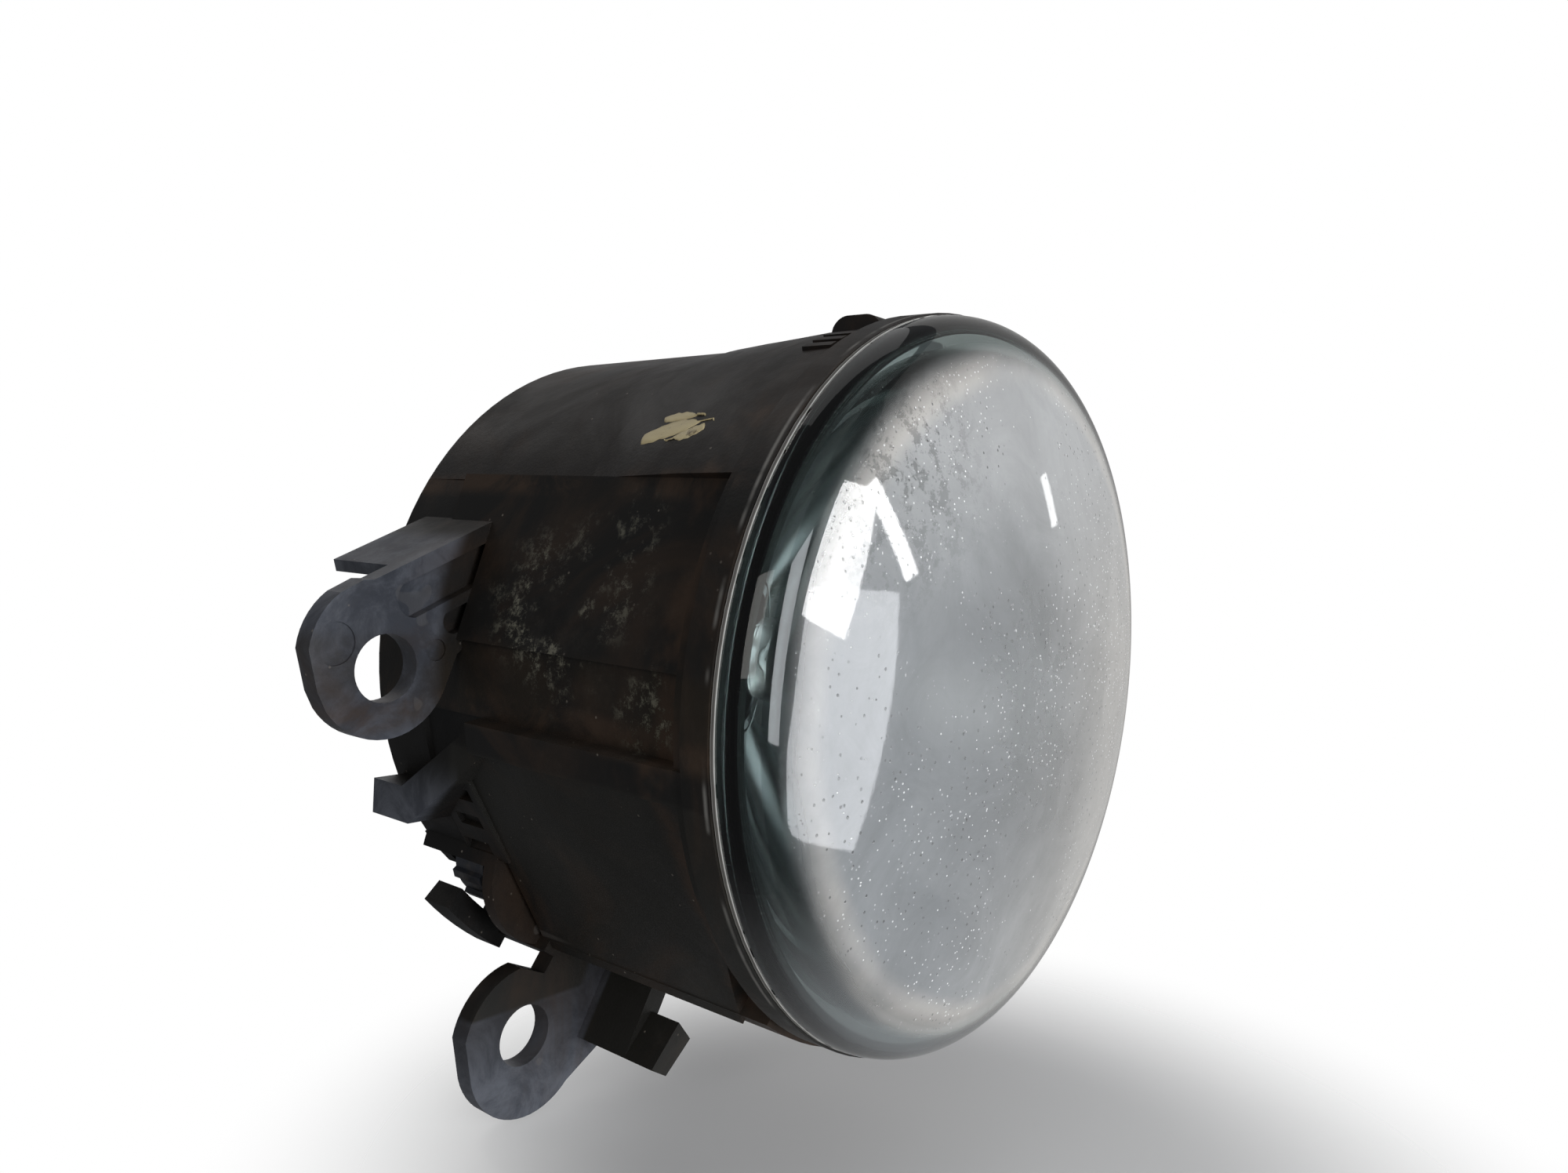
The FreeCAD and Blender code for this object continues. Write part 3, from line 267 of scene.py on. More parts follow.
def housing_plastic():
    """Moulded black plastic with road dust, oily brown stains and pale mineral crusts."""
    f = Finish("housing_plastic")
    clock = f.clock()
    cloud = f.noise(55, 6, 0.65, warp=0.6)
    ears = ear_mask(f, clock)
    crusts = crust_mask(f)
    oily = f.times(f.band(clock, *OILY_STRIP, 1.2), f.range(cloud, 0.38, 0.62))
    dust = f.times(f.range(f.noise(24, 7, 0.7, warp=0.4), 0.5, 0.75),
                   f.range(f.noise(420, 5, 0.7), 0.35, 0.7))
    ledge = f.times(f.band(f.y, *COLLAR_LEDGE, 1.2 * MM), f.range(f.noise(90, 4), 0.42, 0.6))
    from_middle = f.math("ABSOLUTE", f.minus(clock, FLANK_MIDDLE))
    seams = f.times(f.band(from_middle, *SEAMS_FROM_MIDDLE, 1.2),
                    f.range(f.noise(75, 6, 0.7, warp=0.5), 0.40, 0.62))
    worn_edge = f.times(f.band(f.y, *COLLAR_EDGE, 0.2 * MM),
                        f.range(f.noise(95, 3, stretch=(1, 0.2, 1)), 0.44, 0.58))
    layers = (
        (low_root_mask(f, ears), 0.75, ROOT_SHADE),
        # painted shade darkening the adjuster's recess
        (f.spot(ADJUSTER_RECESS, RECESS_SIZE, 0.35), 0.85, RECESS_PAINTED_SHADE),
        (oily, 0.6, OIL),
        (f.range(f.noise(38, 5, 0.6, warp=1.2), 0.47, 0.70), 0.55, RUST_FILM),
        (ledge, 0.75, LEDGE_FILM),
        (seams, 0.6, SEAM_FILM),
        (crusts, 0.75, CRUST_PALE),
        (dust, 0.16, DUST_BROWN),
        (settled_mask(f), 0.12, SETTLED_BROWN),
        (f.scatter(520, (0.10, 0.05), 70, (0.52, 0.66), detail=2), 0.5, SPECK_PALE),
        (f.range(f.noise(160, 2, 0.5, stretch=(1.0, 0.05, 1.0)), 0.70, 0.72), 0.12, SCRATCH_GREY),
        (worn_edge, 0.7, BARE_EDGE),
    )
    base = moulded_colour(f, clock, ears)
    for mask, share, colour in layers:
        base = f.over(base, mask, share, colour)
    rough = f.range(cloud, 0.3, 0.7, 0.46, 0.66)
    rough = f.plus(rough, f.times(f.plus(dust, crusts), 0.25), clamp=True)
    rough = f.minus(rough, f.times(oily, 0.16), clamp=True)
    rough = f.minus(rough, f.times(f.band(clock, *FLANK, 0.6), 0.03), clamp=True)
    grain = f.bump(f.noise(2600, 3, 0.5), 0.04 * MM, 0.6)
    waves = f.bump(f.noise(150, 4, 0.5), 0.18 * MM, 0.5, grain)
    relief = f.bump(crusts, 0.06 * MM, 0.8, waves)
    return f.finish(f.principled(Base_Color=base, Roughness=rough, Normal=relief, Specular_IOR_Level=0.30))


# --- glass of the lens -----------------------------------------------------------------------

GLASS_IOR = 1.5
FACE_EDGE = (36.8 * MM, 41.6 * MM)
# radii of a painted highlight ring round the face
FACE_RING = (36.6 * MM, 40.2 * MM)
# radii of the painted reflection band low on the shoulder
LOW_SHOULDER = (33.0 * MM, 44.0 * MM)
# radii of a painted highlight line in that band
CREST_LINE = (39.2 * MM, 40.2 * MM)
FACE_TOP = 34.0 * MM
# dull spots of the face: centre, radius, how much haze is missing; over them the tone is also painted darker,
# a painted shade in the middle of the face
DULL_SPOTS = (((-2.0 * MM, -11.0 * MM, -6.0 * MM), 16.0 * MM, 0.21),
              ((-8.0 * MM, -11.0 * MM, 12.0 * MM), 9.0 * MM, 0.08))
BALD_PATCH = (-29.0 * MM, -8.0 * MM, 27.0 * MM)
BALD_SIZE = 11.0 * MM
# colours
# the frost's tone is painted lighter towards the right and the top: painted light and shade
HAZE_LEFT_SHADED, HAZE_RIGHT_LIT, HAZE_TOP_LIT = (0.33, 0.345, 0.355), (0.56, 0.54, 0.505), (0.47, 0.475, 0.475)
# painted highlight of the ring round the face
RING_HIGHLIGHT = (0.56, 0.52, 0.47)
# painted highlight of the line low on the shoulder
CREST_HIGHLIGHT = (0.80, 0.78, 0.74)
# painted shade for the middle of the face, over the dull spots
DULL_PAINTED_SHADE = (0.24, 0.25, 0.26)
PIT_DARK, CHIP_PALE = (0.10, 0.10, 0.10), (0.85, 0.85, 0.85)
# behind the shoulder the glass is dark teal, partly a glass tint and partly painted shade of the dark inside
FACE_GLASS, SHOULDER_TINT_AND_SHADE = (0.90, 0.93, 0.925), (0.34, 0.42, 0.41)
FOGGED, TEAL_TINT_AND_SHADE = (0.90, 0.92, 0.92), (0.19, 0.245, 0.24)


def lens_haze(f, face, dull, low):
    """How milky the glass is: cloudy and wispy over the face, and faint low on the shoulder, where it is a
    painted reflection.
    """
    cloud = f.noise(30, 6, 0.62, warp=0.7)
    wisps = f.noise(75, 7, 0.72, warp=1.2)
    haze = f.minus(f.range(cloud, 0.25, 0.75, 0.60, 0.80), dull)
    haze = f.plus(haze, f.times(f.range(f.z, 4.0 * MM, FACE_TOP), 0.12))
    haze = f.plus(haze, f.times(f.minus(wisps, 0.5), 0.42))
    # painted reflection: a faint milky band low on the shoulder
    haze = f.math("MAXIMUM", f.times(face, haze, clamp=True), f.times(low, 0.32))
    bald = f.times(f.spot(BALD_PATCH, BALD_SIZE, 0.9), f.range(f.noise(520, 6, 0.8), 0.50, 0.56))
    return f.times(haze, f.rest(f.times(bald, 0.55)))


def lens_outside():
    """Outer skin of the lens: glossy thick glass, milky and pitted over the face."""
    f = Finish("lens_outside")
    radius = f.radius()
    wander = f.times(f.minus(f.noise(26, 3), 0.5), 4.0 * MM)
    reach = f.plus(radius, wander)
    face = f.range(reach, *FACE_EDGE, 1.0, 0.0)
    dull = 0.0
    for place, size, missing in DULL_SPOTS:
        dull = f.plus(dull, f.times(f.spot(place, size, 0.9), missing))
    # the lower shoulder, where the painted reflection band lies
    low = f.times(f.range(f.z, -14.0 * MM, -36.0 * MM), f.band(radius, *LOW_SHOULDER, 1.6 * MM))
    haze = lens_haze(f, face, dull, low)
    # grit, chips and flakes, all of them pale, and dark pits
    pits = f.scatter(1250, (0.19, 0.10), 45, (0.42, 0.56))
    chips = f.scatter(640, (0.085, 0.050), 28, (0.36, 0.50))
    flakes = f.scatter(240, (0.040, 0.030), 60, (0.44, 0.50), stretch=(1, 1, 1.5))
    marks = f.times(f.plus(f.plus(pits, chips, clamp=True), flakes, clamp=True), face)
    dark_pits = f.times(f.scatter(900, (0.17, 0.09), 34, (0.40, 0.52), stretch=(1.1, 1, 0.9)), face)
    # painted highlight: a beige ring round the face, where the shoulder turns into the dome
    ring = f.times(f.band(reach, *FACE_RING, 1.4 * MM), f.range(f.noise(40, 3), 0.2, 0.6))
    # painted highlight: a pale line low on the shoulder, inside the painted reflection band
    crest_highlight = f.times(f.band(radius, *CREST_LINE, 0.8 * MM), low)
    # painted light and shade: the frost's tone lighter towards the right and the top
    tone = f.mix(f.range(f.x, -20.0 * MM, 36.0 * MM), HAZE_LEFT_SHADED, HAZE_RIGHT_LIT)
    tone = f.mix(f.range(f.z, 0.0, FACE_TOP), tone, HAZE_TOP_LIT)
    tone = f.over(tone, ring, 0.6, RING_HIGHLIGHT)
    tone = f.over(tone, crest_highlight, 0.6, CREST_HIGHLIGHT)
    # painted shade: the tone darker over the dull spots
    tone = f.over(tone, dull, 1.4, DULL_PAINTED_SHADE)
    tone = f.over(tone, dark_pits, 0.8, PIT_DARK)
    tone = f.mix(marks, tone, CHIP_PALE)
    # the painted highlight ring also adds a little to the frost's cover
    cover = f.plus(f.plus(haze, f.times(ring, 0.14)), f.times(marks, 0.4), clamp=True)
    sunk = f.times(f.plus(marks, dark_pits), -1.0)
    relief = f.bump(f.plus(sunk, f.times(f.times(f.noise(900, 4, 0.7), face), 0.05)), 0.06 * MM, 0.7)
    # the dark teal of the shoulder glass is partly painted shade
    depth = f.mix(f.range(radius, 37.5 * MM, 41.0 * MM), FACE_GLASS, SHOULDER_TINT_AND_SHADE)
    glass = f.principled(Base_Color=depth, Transmission_Weight=1.0, IOR=GLASS_IOR, Roughness=0.02,
                         Normal=relief)
    frost = f.principled(Base_Color=tone, Roughness=0.85, Specular_IOR_Level=0.2, Coat_Weight=1.0,
                         Coat_Roughness=0.03, Coat_IOR=GLASS_IOR, Normal=relief, Coat_Normal=relief)
    return f.finish_mixed(cover, glass, frost)


def lens_inside():
    """Inner skin of the lens: fogged behind the face, and dark teal behind the shoulder, partly a glass tint
    and partly painted shade of the dark inside.
    """
    f = Finish("lens_inside")
    fog = f.range(f.radius(), 36.0 * MM, 40.0 * MM, 1.0, 0.0)
    wisps = f.noise(60, 6, 0.7, warp=0.8)
    rough = f.plus(f.range(fog, 0.0, 1.0, 0.10, 0.30), f.times(wisps, 0.12))
    # the dark teal behind the shoulder is partly painted shade
    tint = f.mix(fog, TEAL_TINT_AND_SHADE, FOGGED)
    relief = f.bump(f.times(f.noise(300, 3), fog), 0.04 * MM, 0.4)
    return f.finish(f.principled(Base_Color=tint, Transmission_Weight=1.0, IOR=GLASS_IOR, Roughness=rough,
                                 Normal=relief))


# --- other materials -------------------------------------------------------------------------

DRY_DIRT = (0.25, 0.20, 0.15)
TARNISH = (0.22, 0.17, 0.12)


def mottled(f, share, colour, darker, lighter):
    """A colour that wanders between a darker and a lighter shade of itself."""
    return f.mix(share, tuple(c * darker for c in colour), tuple(min(1, c * lighter) for c in colour))


def plain_plastic(name, colour, rough, speck=0.1, level=0.5):
    """Moulded plastic or rubber with faint mottling, dirt and grain."""
    f = Finish(name)
    cloud = f.noise(160, 5, 0.6, warp=0.4)
    dirt = f.times(f.range(f.noise(90, 6, 0.7), 0.48, 0.72), speck)
    base = f.mix(dirt, mottled(f, f.range(cloud, 0.3, 0.7), colour, 0.82, 1.12), DRY_DIRT)
    surface = f.range(cloud, 0.3, 0.7, rough - 0.08, rough + 0.08)
    relief = f.bump(f.noise(2400, 3, 0.5), 0.03 * MM, 0.6)
    return f.finish(f.principled(Base_Color=base, Roughness=surface, Normal=relief, Specular_IOR_Level=level))


def metal(name, colour, rough, brushed, speck=0.15):
    """Plated or drawn metal with fine brushing and slight tarnish."""
    f = Finish(name)
    lines = f.noise(1500, 3, 0.6, stretch=brushed)
    tarnish = f.times(f.range(f.noise(180, 5, 0.65), 0.5, 0.75), speck)
    base = f.mix(tarnish, mottled(f, lines, colour, 0.85, 1.08), TARNISH)
    surface = f.plus(f.range(lines, 0.2, 0.8, rough - 0.05, rough + 0.08), f.times(tarnish, 0.5))
    relief = f.bump(lines, 0.01 * MM, 0.5)
    return f.finish(f.principled(Base_Color=base, Roughness=surface, Metallic=1.0, Normal=relief))


def seal_bead():
    """Cured sealant: two pale skins with a grey core between them, nicked and dirty, and painted shade making
    it near-black in the channel behind.
    """
    f = Finish("seal_bead")
    core_y, core_half, behind_y = -0.35 * MM, 0.18 * MM, 0.07 * MM
    skins = f.edge(f.math("ABSOLUTE", f.minus(f.y, core_y)), core_half, 0.04 * MM)
    worn = f.range(f.noise(140, 5, 0.7), 0.34, 0.5)
    pale = f.times(skins, f.range(worn, 0.0, 1.0, 0.75, 1.0))
    dirt = f.range(f.noise(70, 6, 0.75), 0.55, 0.72)
    base = f.mix(pale, (0.26, 0.25, 0.235), (0.86, 0.85, 0.81))
    # painted shade: behind behind_y, inside the channel, the sealant is near-black
    base = f.mix(f.edge(f.y, behind_y, 0.03 * MM), base, (0.02, 0.02, 0.02))
    base = f.over(base, dirt, 0.45, (0.14, 0.105, 0.07))
    relief = f.bump(f.noise(900, 4), 0.08 * MM, 0.6)
    return f.finish(f.principled(Base_Color=base, Roughness=0.55, Normal=relief))


def mirror_coat():
    """Vacuum-deposited aluminium, dulled a little and cloudy in patches."""
    f = Finish("mirror_coat")
    cloud = f.noise(45, 5, 0.6, warp=0.5)
    bloom = f.range(f.noise(80, 6, 0.7), 0.52, 0.75)
    base = f.mix(bloom, (0.90, 0.905, 0.91), (0.70, 0.69, 0.68))
    rough = f.range(cloud, 0.3, 0.7, 0.06, 0.20)
    relief = f.bump(f.noise(240, 3), 0.04 * MM, 0.4)
    return f.finish(f.principled(Base_Color=base, Metallic=1.0, Roughness=rough, Normal=relief))


def quartz():
    """Clear quartz capsule whose nose carries a matt black cap with a wavering edge."""
    f = Finish("quartz")
    cap_rear, quartz_ior = 27.35 * MM, 1.46
    nose = f.rest(f.edge(f.plus(f.y, f.times(f.noise(700, 3), 0.6 * MM)), cap_rear, 0.15 * MM))
    clear = f.principled(Base_Color=(0.97, 0.98, 0.985), Transmission_Weight=1.0, IOR=quartz_ior,
                         Roughness=f.range(f.noise(120, 4), 0.4, 0.7, 0.01, 0.05),
                         Normal=f.bump(f.noise(180, 3), 0.08 * MM, 0.3))
    cap = f.principled(Base_Color=f.mix(f.noise(300, 4), (0.02, 0.02, 0.022), (0.045, 0.043, 0.042)),
                       Roughness=f.range(f.noise(240, 4), 0.3, 0.7, 0.42, 0.62))
    return f.finish_mixed(nose, clear, cap)


def paint_daub():
    """Brushed cream paint, thin and streaky with dirt in its bristle lines."""
    f = Finish("paint_daub")
    streaks = f.noise(900, 4, 0.6, stretch=(1.0, 0.22, 1.0))
    base = f.mix(streaks, (0.46, 0.35, 0.17), (0.82, 0.72, 0.45))
    base = f.mix(f.range(f.noise(420, 5, 0.7), 0.56, 0.7), base, (0.10, 0.07, 0.04))
    rough = f.range(streaks, 0.3, 0.7, 0.38, 0.6)
    return f.finish(f.principled(Base_Color=base, Roughness=rough, Normal=f.bump(streaks, 0.12 * MM, 0.8)))


def woven_patch():
    """White breathable membrane with a fine weave."""
    f = Finish("woven_patch")
    across, along = (
        f.node("ShaderNodeTexWave", {"Vector": f.place, "Scale": 900.0, "Distortion": 0.4},
               wave_type="BANDS", bands_direction=direction).outputs["Fac"] for direction in "XZ")
    weave = f.times(across, along)
    grime = f.range(f.noise(260, 6, 0.7), 0.45, 0.75)
    base = f.mix(weave, (0.55, 0.54, 0.52), (0.78, 0.77, 0.75))
    base = f.over(base, grime, 0.45, (0.30, 0.25, 0.19))
    return f.finish(f.principled(Base_Color=base, Roughness=0.85, Normal=f.bump(weave, 0.05 * MM, 0.6)))


# --- mesh helpers ----------------------------------------------------------------------------

def in_scene(name, data):
    """Object of its own for a mesh, a lamp or a camera."""
    made = bpy.data.objects.new(name, data)
    bpy.context.scene.collection.objects.link(made)
    return made


def new_piece(name, vertices, faces, material, body, smooth=True, outward=True, weld=WELD):
    """Mesh piece riding on a body, welded, and with its faces turned outwards if asked."""
    mesh = bpy.data.meshes.new(name)
    mesh.from_pydata([tuple(v) for v in vertices], [], faces)
    mesh.validate()
    welded = bmesh.new()
    welded.from_mesh(mesh)
    bmesh.ops.remove_doubles(welded, verts=welded.verts, dist=weld)
    if outward:
        bmesh.ops.recalc_face_normals(welded, faces=welded.faces)
    welded.to_mesh(mesh)
    welded.free()
    mesh.materials.append(material)
    mesh.polygons.foreach_set("use_smooth", [smooth] * len(mesh.polygons))
    piece = in_scene(name, mesh)
    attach(piece, body)
    return piece


def turned(profile, segments, closed=True):
    """Vertices and faces of a profile of (radius, y) turned about the optical axis."""
    vertices, faces = [], []
    for step in range(segments):
        angle = 2 * math.pi * step / segments
        for r, y in profile:
            vertices.append((r * math.sin(angle), y, r * math.cos(angle)))
    count = len(profile)
    last = count if closed else count - 1
    for step in range(segments):
        a, b = step * count, ((step + 1) % segments) * count
        for k in range(last):
            n = (k + 1) % count
            faces.append((a + k, a + n, b + n, b + k))
    return vertices, faces


def tube_faces(rows, sides):
    """Faces of a capped tube whose vertices stand in rows of so many sides."""
    faces = []
    for k in range(rows - 1):
        for s in range(sides):
            n = (s + 1) % sides
            faces.append((k * sides + s, k * sides + n, (k + 1) * sides + n, (k + 1) * sides + s))
    faces.append(tuple(range(sides)))
    faces.append(tuple((rows - 1) * sides + s for s in range(sides)))
    return faces


def arc(cx, cy, radius, start, end, steps):
    """Points of (radius, y) on an arc about (cx, cy); angle 0 is outwards and 90 is forwards (-Y)."""
    out = []
    for k in range(steps + 1):
        angle = math.radians(start + (end - start) * k / steps)
        out.append((cx + radius * math.cos(angle), cy - radius * math.sin(angle)))
    return out


def soften(piece, width):
    """Small moulded radius on the sharp edges, with the flat faces kept flat."""
    bevel = piece.modifiers.new("edge_radius", "BEVEL")
    bevel.width = width
    bevel.segments = 2
    bevel.limit_method = "ANGLE"
    bevel.angle_limit = math.radians(32)
    bevel.harden_normals = True
    bevel.use_clamp_overlap = True
    bevel.miter_outer = "MITER_ARC"


# --- lens ------------------------------------------------------------------------------------

SHOULDER = 5.8 * MM
INNER_SHOULDER = 2.9 * MM
INNER_INSET = 0.6 * MM
CREST_GLASS = 3.3 * MM
FLANGE_Y = -0.7 * MM
LEG_OUTER = 43.0 * MM
LEG_INNER = 40.2 * MM
TANGENT = 18.5
# a paraboloid between the two skins, which tells their faces apart
PARTING_DEPTH = 2.4 * MM
PARTING_R = 0.12


def dome(rim_r, rim_y, steps, crest_y):
    """Spherical cap from the rim to the axis."""
    rise = rim_y - crest_y
    ball = (rim_r ** 2 + rise ** 2) / (2 * rise)
    points = []
    for k in range(1, steps + 1):
        r = rim_r * (1 - k / steps)
        points.append((max(r, ON_AXIS), crest_y + ball - math.sqrt(ball ** 2 - r ** 2)))
    return points


def rolled(centre, shoulder, shoulder_steps, dome_steps, crest_y):
    """One skin of the glass from its flange to the axis: a rolled shoulder and a shallow dome."""
    points = arc(centre, FLANGE_Y, shoulder, 0, 90 - TANGENT, shoulder_steps)
    return points + dome(*points[-1], dome_steps, crest_y)


def make_lens(outside, inside):
    """The glass: rolled shoulder, shallow dome, and a leg that stands in the sealant channel."""
    centre = LENS_R - SHOULDER
    outer = rolled(centre, SHOULDER, 20, 36, LENS_FRONT)
    inner = rolled(centre - INNER_INSET, INNER_SHOULDER, 12, 30, LENS_FRONT + CREST_GLASS)
    leg = [(LEG_INNER, FLANGE_Y), (LEG_INNER, LENS_HI.y), (LEG_OUTER, LENS_HI.y), (LEG_OUTER, FLANGE_Y)]
    profile = list(reversed(inner)) + leg + outer
    profile = [p for k, p in enumerate(profile) if k == 0 or math.dist(p, profile[k - 1]) > 1e-6]
    vertices, faces = turned(profile, ROUND_STEPS, closed=False)
    lens = new_piece("lens_glass", vertices, faces, outside, "root")
    lens.data.materials.append(inside)
    for face in lens.data.polygons:
        at = math.hypot(face.center.x, face.center.z)
        behind = face.center.y > LENS_FRONT + PARTING_DEPTH + at ** 2 / (2 * PARTING_R)
        if behind and at < LEG_INNER + 0.01 * MM:
            face.material_index = 1
    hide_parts("lens")


CHANNEL_R = 43.35 * MM
BEAD_STEPS = 360
BEAD_NICK = 0.10 * MM


def make_seal(material):
    """Sealant ring between glass and collar: a slightly uneven bead, and the filled channel."""
    lo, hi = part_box("lens_adhesive")
    # the bead's skin as (how far inside the largest radius, y)
    skin = [(0.25 * MM, lo.y + 0.02 * MM), (0.05 * MM, lo.y + 0.12 * MM), (0.16 * MM, lo.y + 0.35 * MM),
            (0.05 * MM, -0.12 * MM), (0.25 * MM, -0.02 * MM)]
    channel = [(CHANNEL_R, 0.0), (CHANNEL_R, hi.y), (LEG_INNER, hi.y), (LEG_INNER, LENS_HI.y),
               (LEG_OUTER, LENS_HI.y)]
    profile = [(LEG_OUTER, lo.y)] + [(hi.x - inset, y) for inset, y in skin] + channel
    vertices, faces = turned(profile, BEAD_STEPS)
    shaped = []
    for k, v in enumerate(vertices):
        point = Vector(v)
        if 1 <= k % len(profile) <= len(skin):
            out = Vector((point.x, 0, point.z)).normalized()
            point -= out * abs(noise.noise(point * 420)) * BEAD_NICK
        shaped.append(point)
    seal = new_piece("seal_ring", shaped, faces, material, "root")
    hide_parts("lens_adhesive")


# --- reflector and bulb ----------------------------------------------------------------------

VERTEX_Y = 48.0 * MM
FOCUS = 9.2 * MM
BOWL_THROAT, BOWL_RIM = 12.05 * MM, 36.0 * MM
BOWL_STEPS = 40


def bowl_line(off, rim_y):
    """Points of (radius, y) a little in front of the parabolic bowl, as far as its rim."""
    points = []
    for k in range(BOWL_STEPS + 1):
        r = BOWL_THROAT + (BOWL_RIM - BOWL_THROAT) * k / BOWL_STEPS
        lean = math.atan(r / (2 * FOCUS))
        points.append((r - off * math.sin(lean), VERTEX_Y - r * r / (4 * FOCUS) - off * math.cos(lean)))
    return [p for p in points if p[1] > rim_y + 0.2 * MM]


def make_mirror(material):
    """Aluminised skin on the inside of the bowl."""
    rim_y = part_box("reflector")[0].y
    profile = bowl_line(0.10 * MM, rim_y) + list(reversed(bowl_line(0.02 * MM, rim_y)))
    vertices, faces = turned(profile, 192)
    new_piece("mirror_skin", vertices, faces, material, "tilting_reflector")


CAPSULE_WALL = 0.9 * MM


def make_capsule(material):
    """Quartz capsule: domed nose, straight barrel and the pinched foot, with the hollow inside."""
    lo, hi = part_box("bulb_glass")
    radius = hi.x
    hollow_r = radius - CAPSULE_WALL
    nose = [math.radians(a) for a in range(9, 91, 9)]
    outer = [(ON_AXIS, lo.y)]
    outer += [(radius * math.sin(a), lo.y + radius * (1 - math.cos(a))) for a in nose]
    outer += [(radius, lo.y + 22 * MM), (radius * 0.96, lo.y + 25 * MM), (radius * 0.90, hi.y - 4 * MM),
              (radius * 0.90, hi.y), (ON_AXIS, hi.y)]
    hollow = [(ON_AXIS, hi.y - 6.2 * MM), (radius * 0.62, hi.y - 6.4 * MM),
              (hollow_r - 0.2 * MM, hi.y - 9 * MM), (hollow_r, lo.y + 20 * MM), (hollow_r, lo.y + radius)]
    hollow += [(hollow_r * math.cos(a), lo.y + radius - hollow_r * math.sin(a)) for a in nose[:-1]]
    hollow.append((ON_AXIS, lo.y + CAPSULE_WALL))
    shell_points, shell_faces = turned(outer, 72, closed=False)
    hollow_points, hollow_faces = turned(hollow, 72, closed=False)
    first = len(shell_points)
    faces = shell_faces + [tuple(i + first for i in reversed(face)) for face in hollow_faces]
    capsule = new_piece("bulb_capsule", shell_points + hollow_points, faces, material, "bulb",
                        outward=False, weld=10 * WELD)
    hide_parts("bulb_glass")


WIRE = 0.14 * MM
COIL_TURNS = 9
STEPS_PER_TURN = 20


def swept(name, points, radius, material, body, sides):
    """Round wire along a smooth line, capped at both ends."""
    vertices = []
    off_line = Vector((0.31, 0.83, 0.47)).normalized()
    for k, point in enumerate(points):
        ahead = points[min(k + 1, len(points) - 1)] - points[max(k - 1, 0)]
        ahead.normalize()
        side = ahead.cross(off_line).normalized()
        other = ahead.cross(side)
        for s in range(sides):
            angle = 2 * math.pi * s / sides
            vertices.append(point + (side * math.cos(angle) + other * math.sin(angle)) * radius)
    return new_piece(name, vertices, tube_faces(len(points), sides), material, body)


def make_coil(material):
    """Tungsten coil wound along the optical axis, within the space of the CAD filament."""
    lo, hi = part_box("bulb_filament")
    loop = hi.x - WIRE
    steps = COIL_TURNS * STEPS_PER_TURN
    points = []
    for k in range(steps + 1):
        angle = 2 * math.pi * k / STEPS_PER_TURN
        y = lo.y + WIRE + (hi.y - lo.y - 2 * WIRE) * (k / steps)
        points.append(Vector((loop * math.cos(angle), y, loop * math.sin(angle))))
    coil = swept("filament_coil", points, WIRE, material, "bulb", sides=8)
    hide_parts("bulb_filament")


# --- raised detail on the housing, sized in millimetres --------------------------------------

COLLAR_R = 43.75
TICK_CLOCKS = (330.6, 333.4, 336.2)
TICK_WIDTH = 1.5
TICK_FRONT, TICK_REAR = 5.3, 9.6
TICK_HEIGHT, TICK_ROOT, TICK_SLOPE = 0.45, 0.4, 0.12

# (radius, y) of the dome's flared side at its bends, as in the CAD section
DOME_SECTION = [(43.9, 5.2), (43.6, 13.0), (42.8, 23.0), (42.4, 27.5), (42.0, 28.0), (41.5, 60.0)]
# brush strokes: where each begins, bends and ends as (clock, y), and half its width
STROKES = (((309.0, 22.5), (311.6, 17.5), (312.2, 12.6), 1.25),
           ((310.8, 13.2), (309.0, 15.5), (308.4, 18.2), 0.75),
           ((313.2, 21.0), (313.9, 17.6), (313.4, 14.6), 0.70))
STROKE_ROWS, STROKE_LANES = 44, 9
STROKE_BASE_R = 43
PAINT_THICKNESS = 0.12 * MM


def on_round(clock, radius, y):
    """Point of the row frame at a clock angle and radius (mm), at depth y (mm)."""
    angle = math.radians(clock)
    return Vector((radius * math.sin(angle), y, radius * math.cos(angle))) * MM


def make_tick(name, clock, material):
    """Small raised bar on the collar, beside the top bump."""
    section = ((COLLAR_R - TICK_ROOT, TICK_FRONT), (COLLAR_R + TICK_HEIGHT, TICK_FRONT + TICK_SLOPE),
               (COLLAR_R + TICK_HEIGHT, TICK_REAR - TICK_SLOPE), (COLLAR_R - TICK_ROOT, TICK_REAR))
    rows = [clock + TICK_WIDTH * share for share in (0, 0.5, 1)]
    vertices = [on_round(at, r, y) for at in rows for r, y in section]
    faces = tube_faces(len(rows), len(section))
    new_piece(name, vertices, faces, material, "root", smooth=False)


def dome_radius(y):
    """Radius of the dome's flared side at depth y."""
    for (r0, y0), (r1, y1) in zip(DOME_SECTION, DOME_SECTION[1:]):
        if y <= y1:
            return r0 + (r1 - r0) * (y - y0) / (y1 - y0)
    return DOME_SECTION[-1][0]


def bent(a, b, c, t):
    """Share t of the way along a curve from a to c that bends towards b."""
    return (1 - t) ** 2 * a + 2 * t * (1 - t) * b + t * t * c


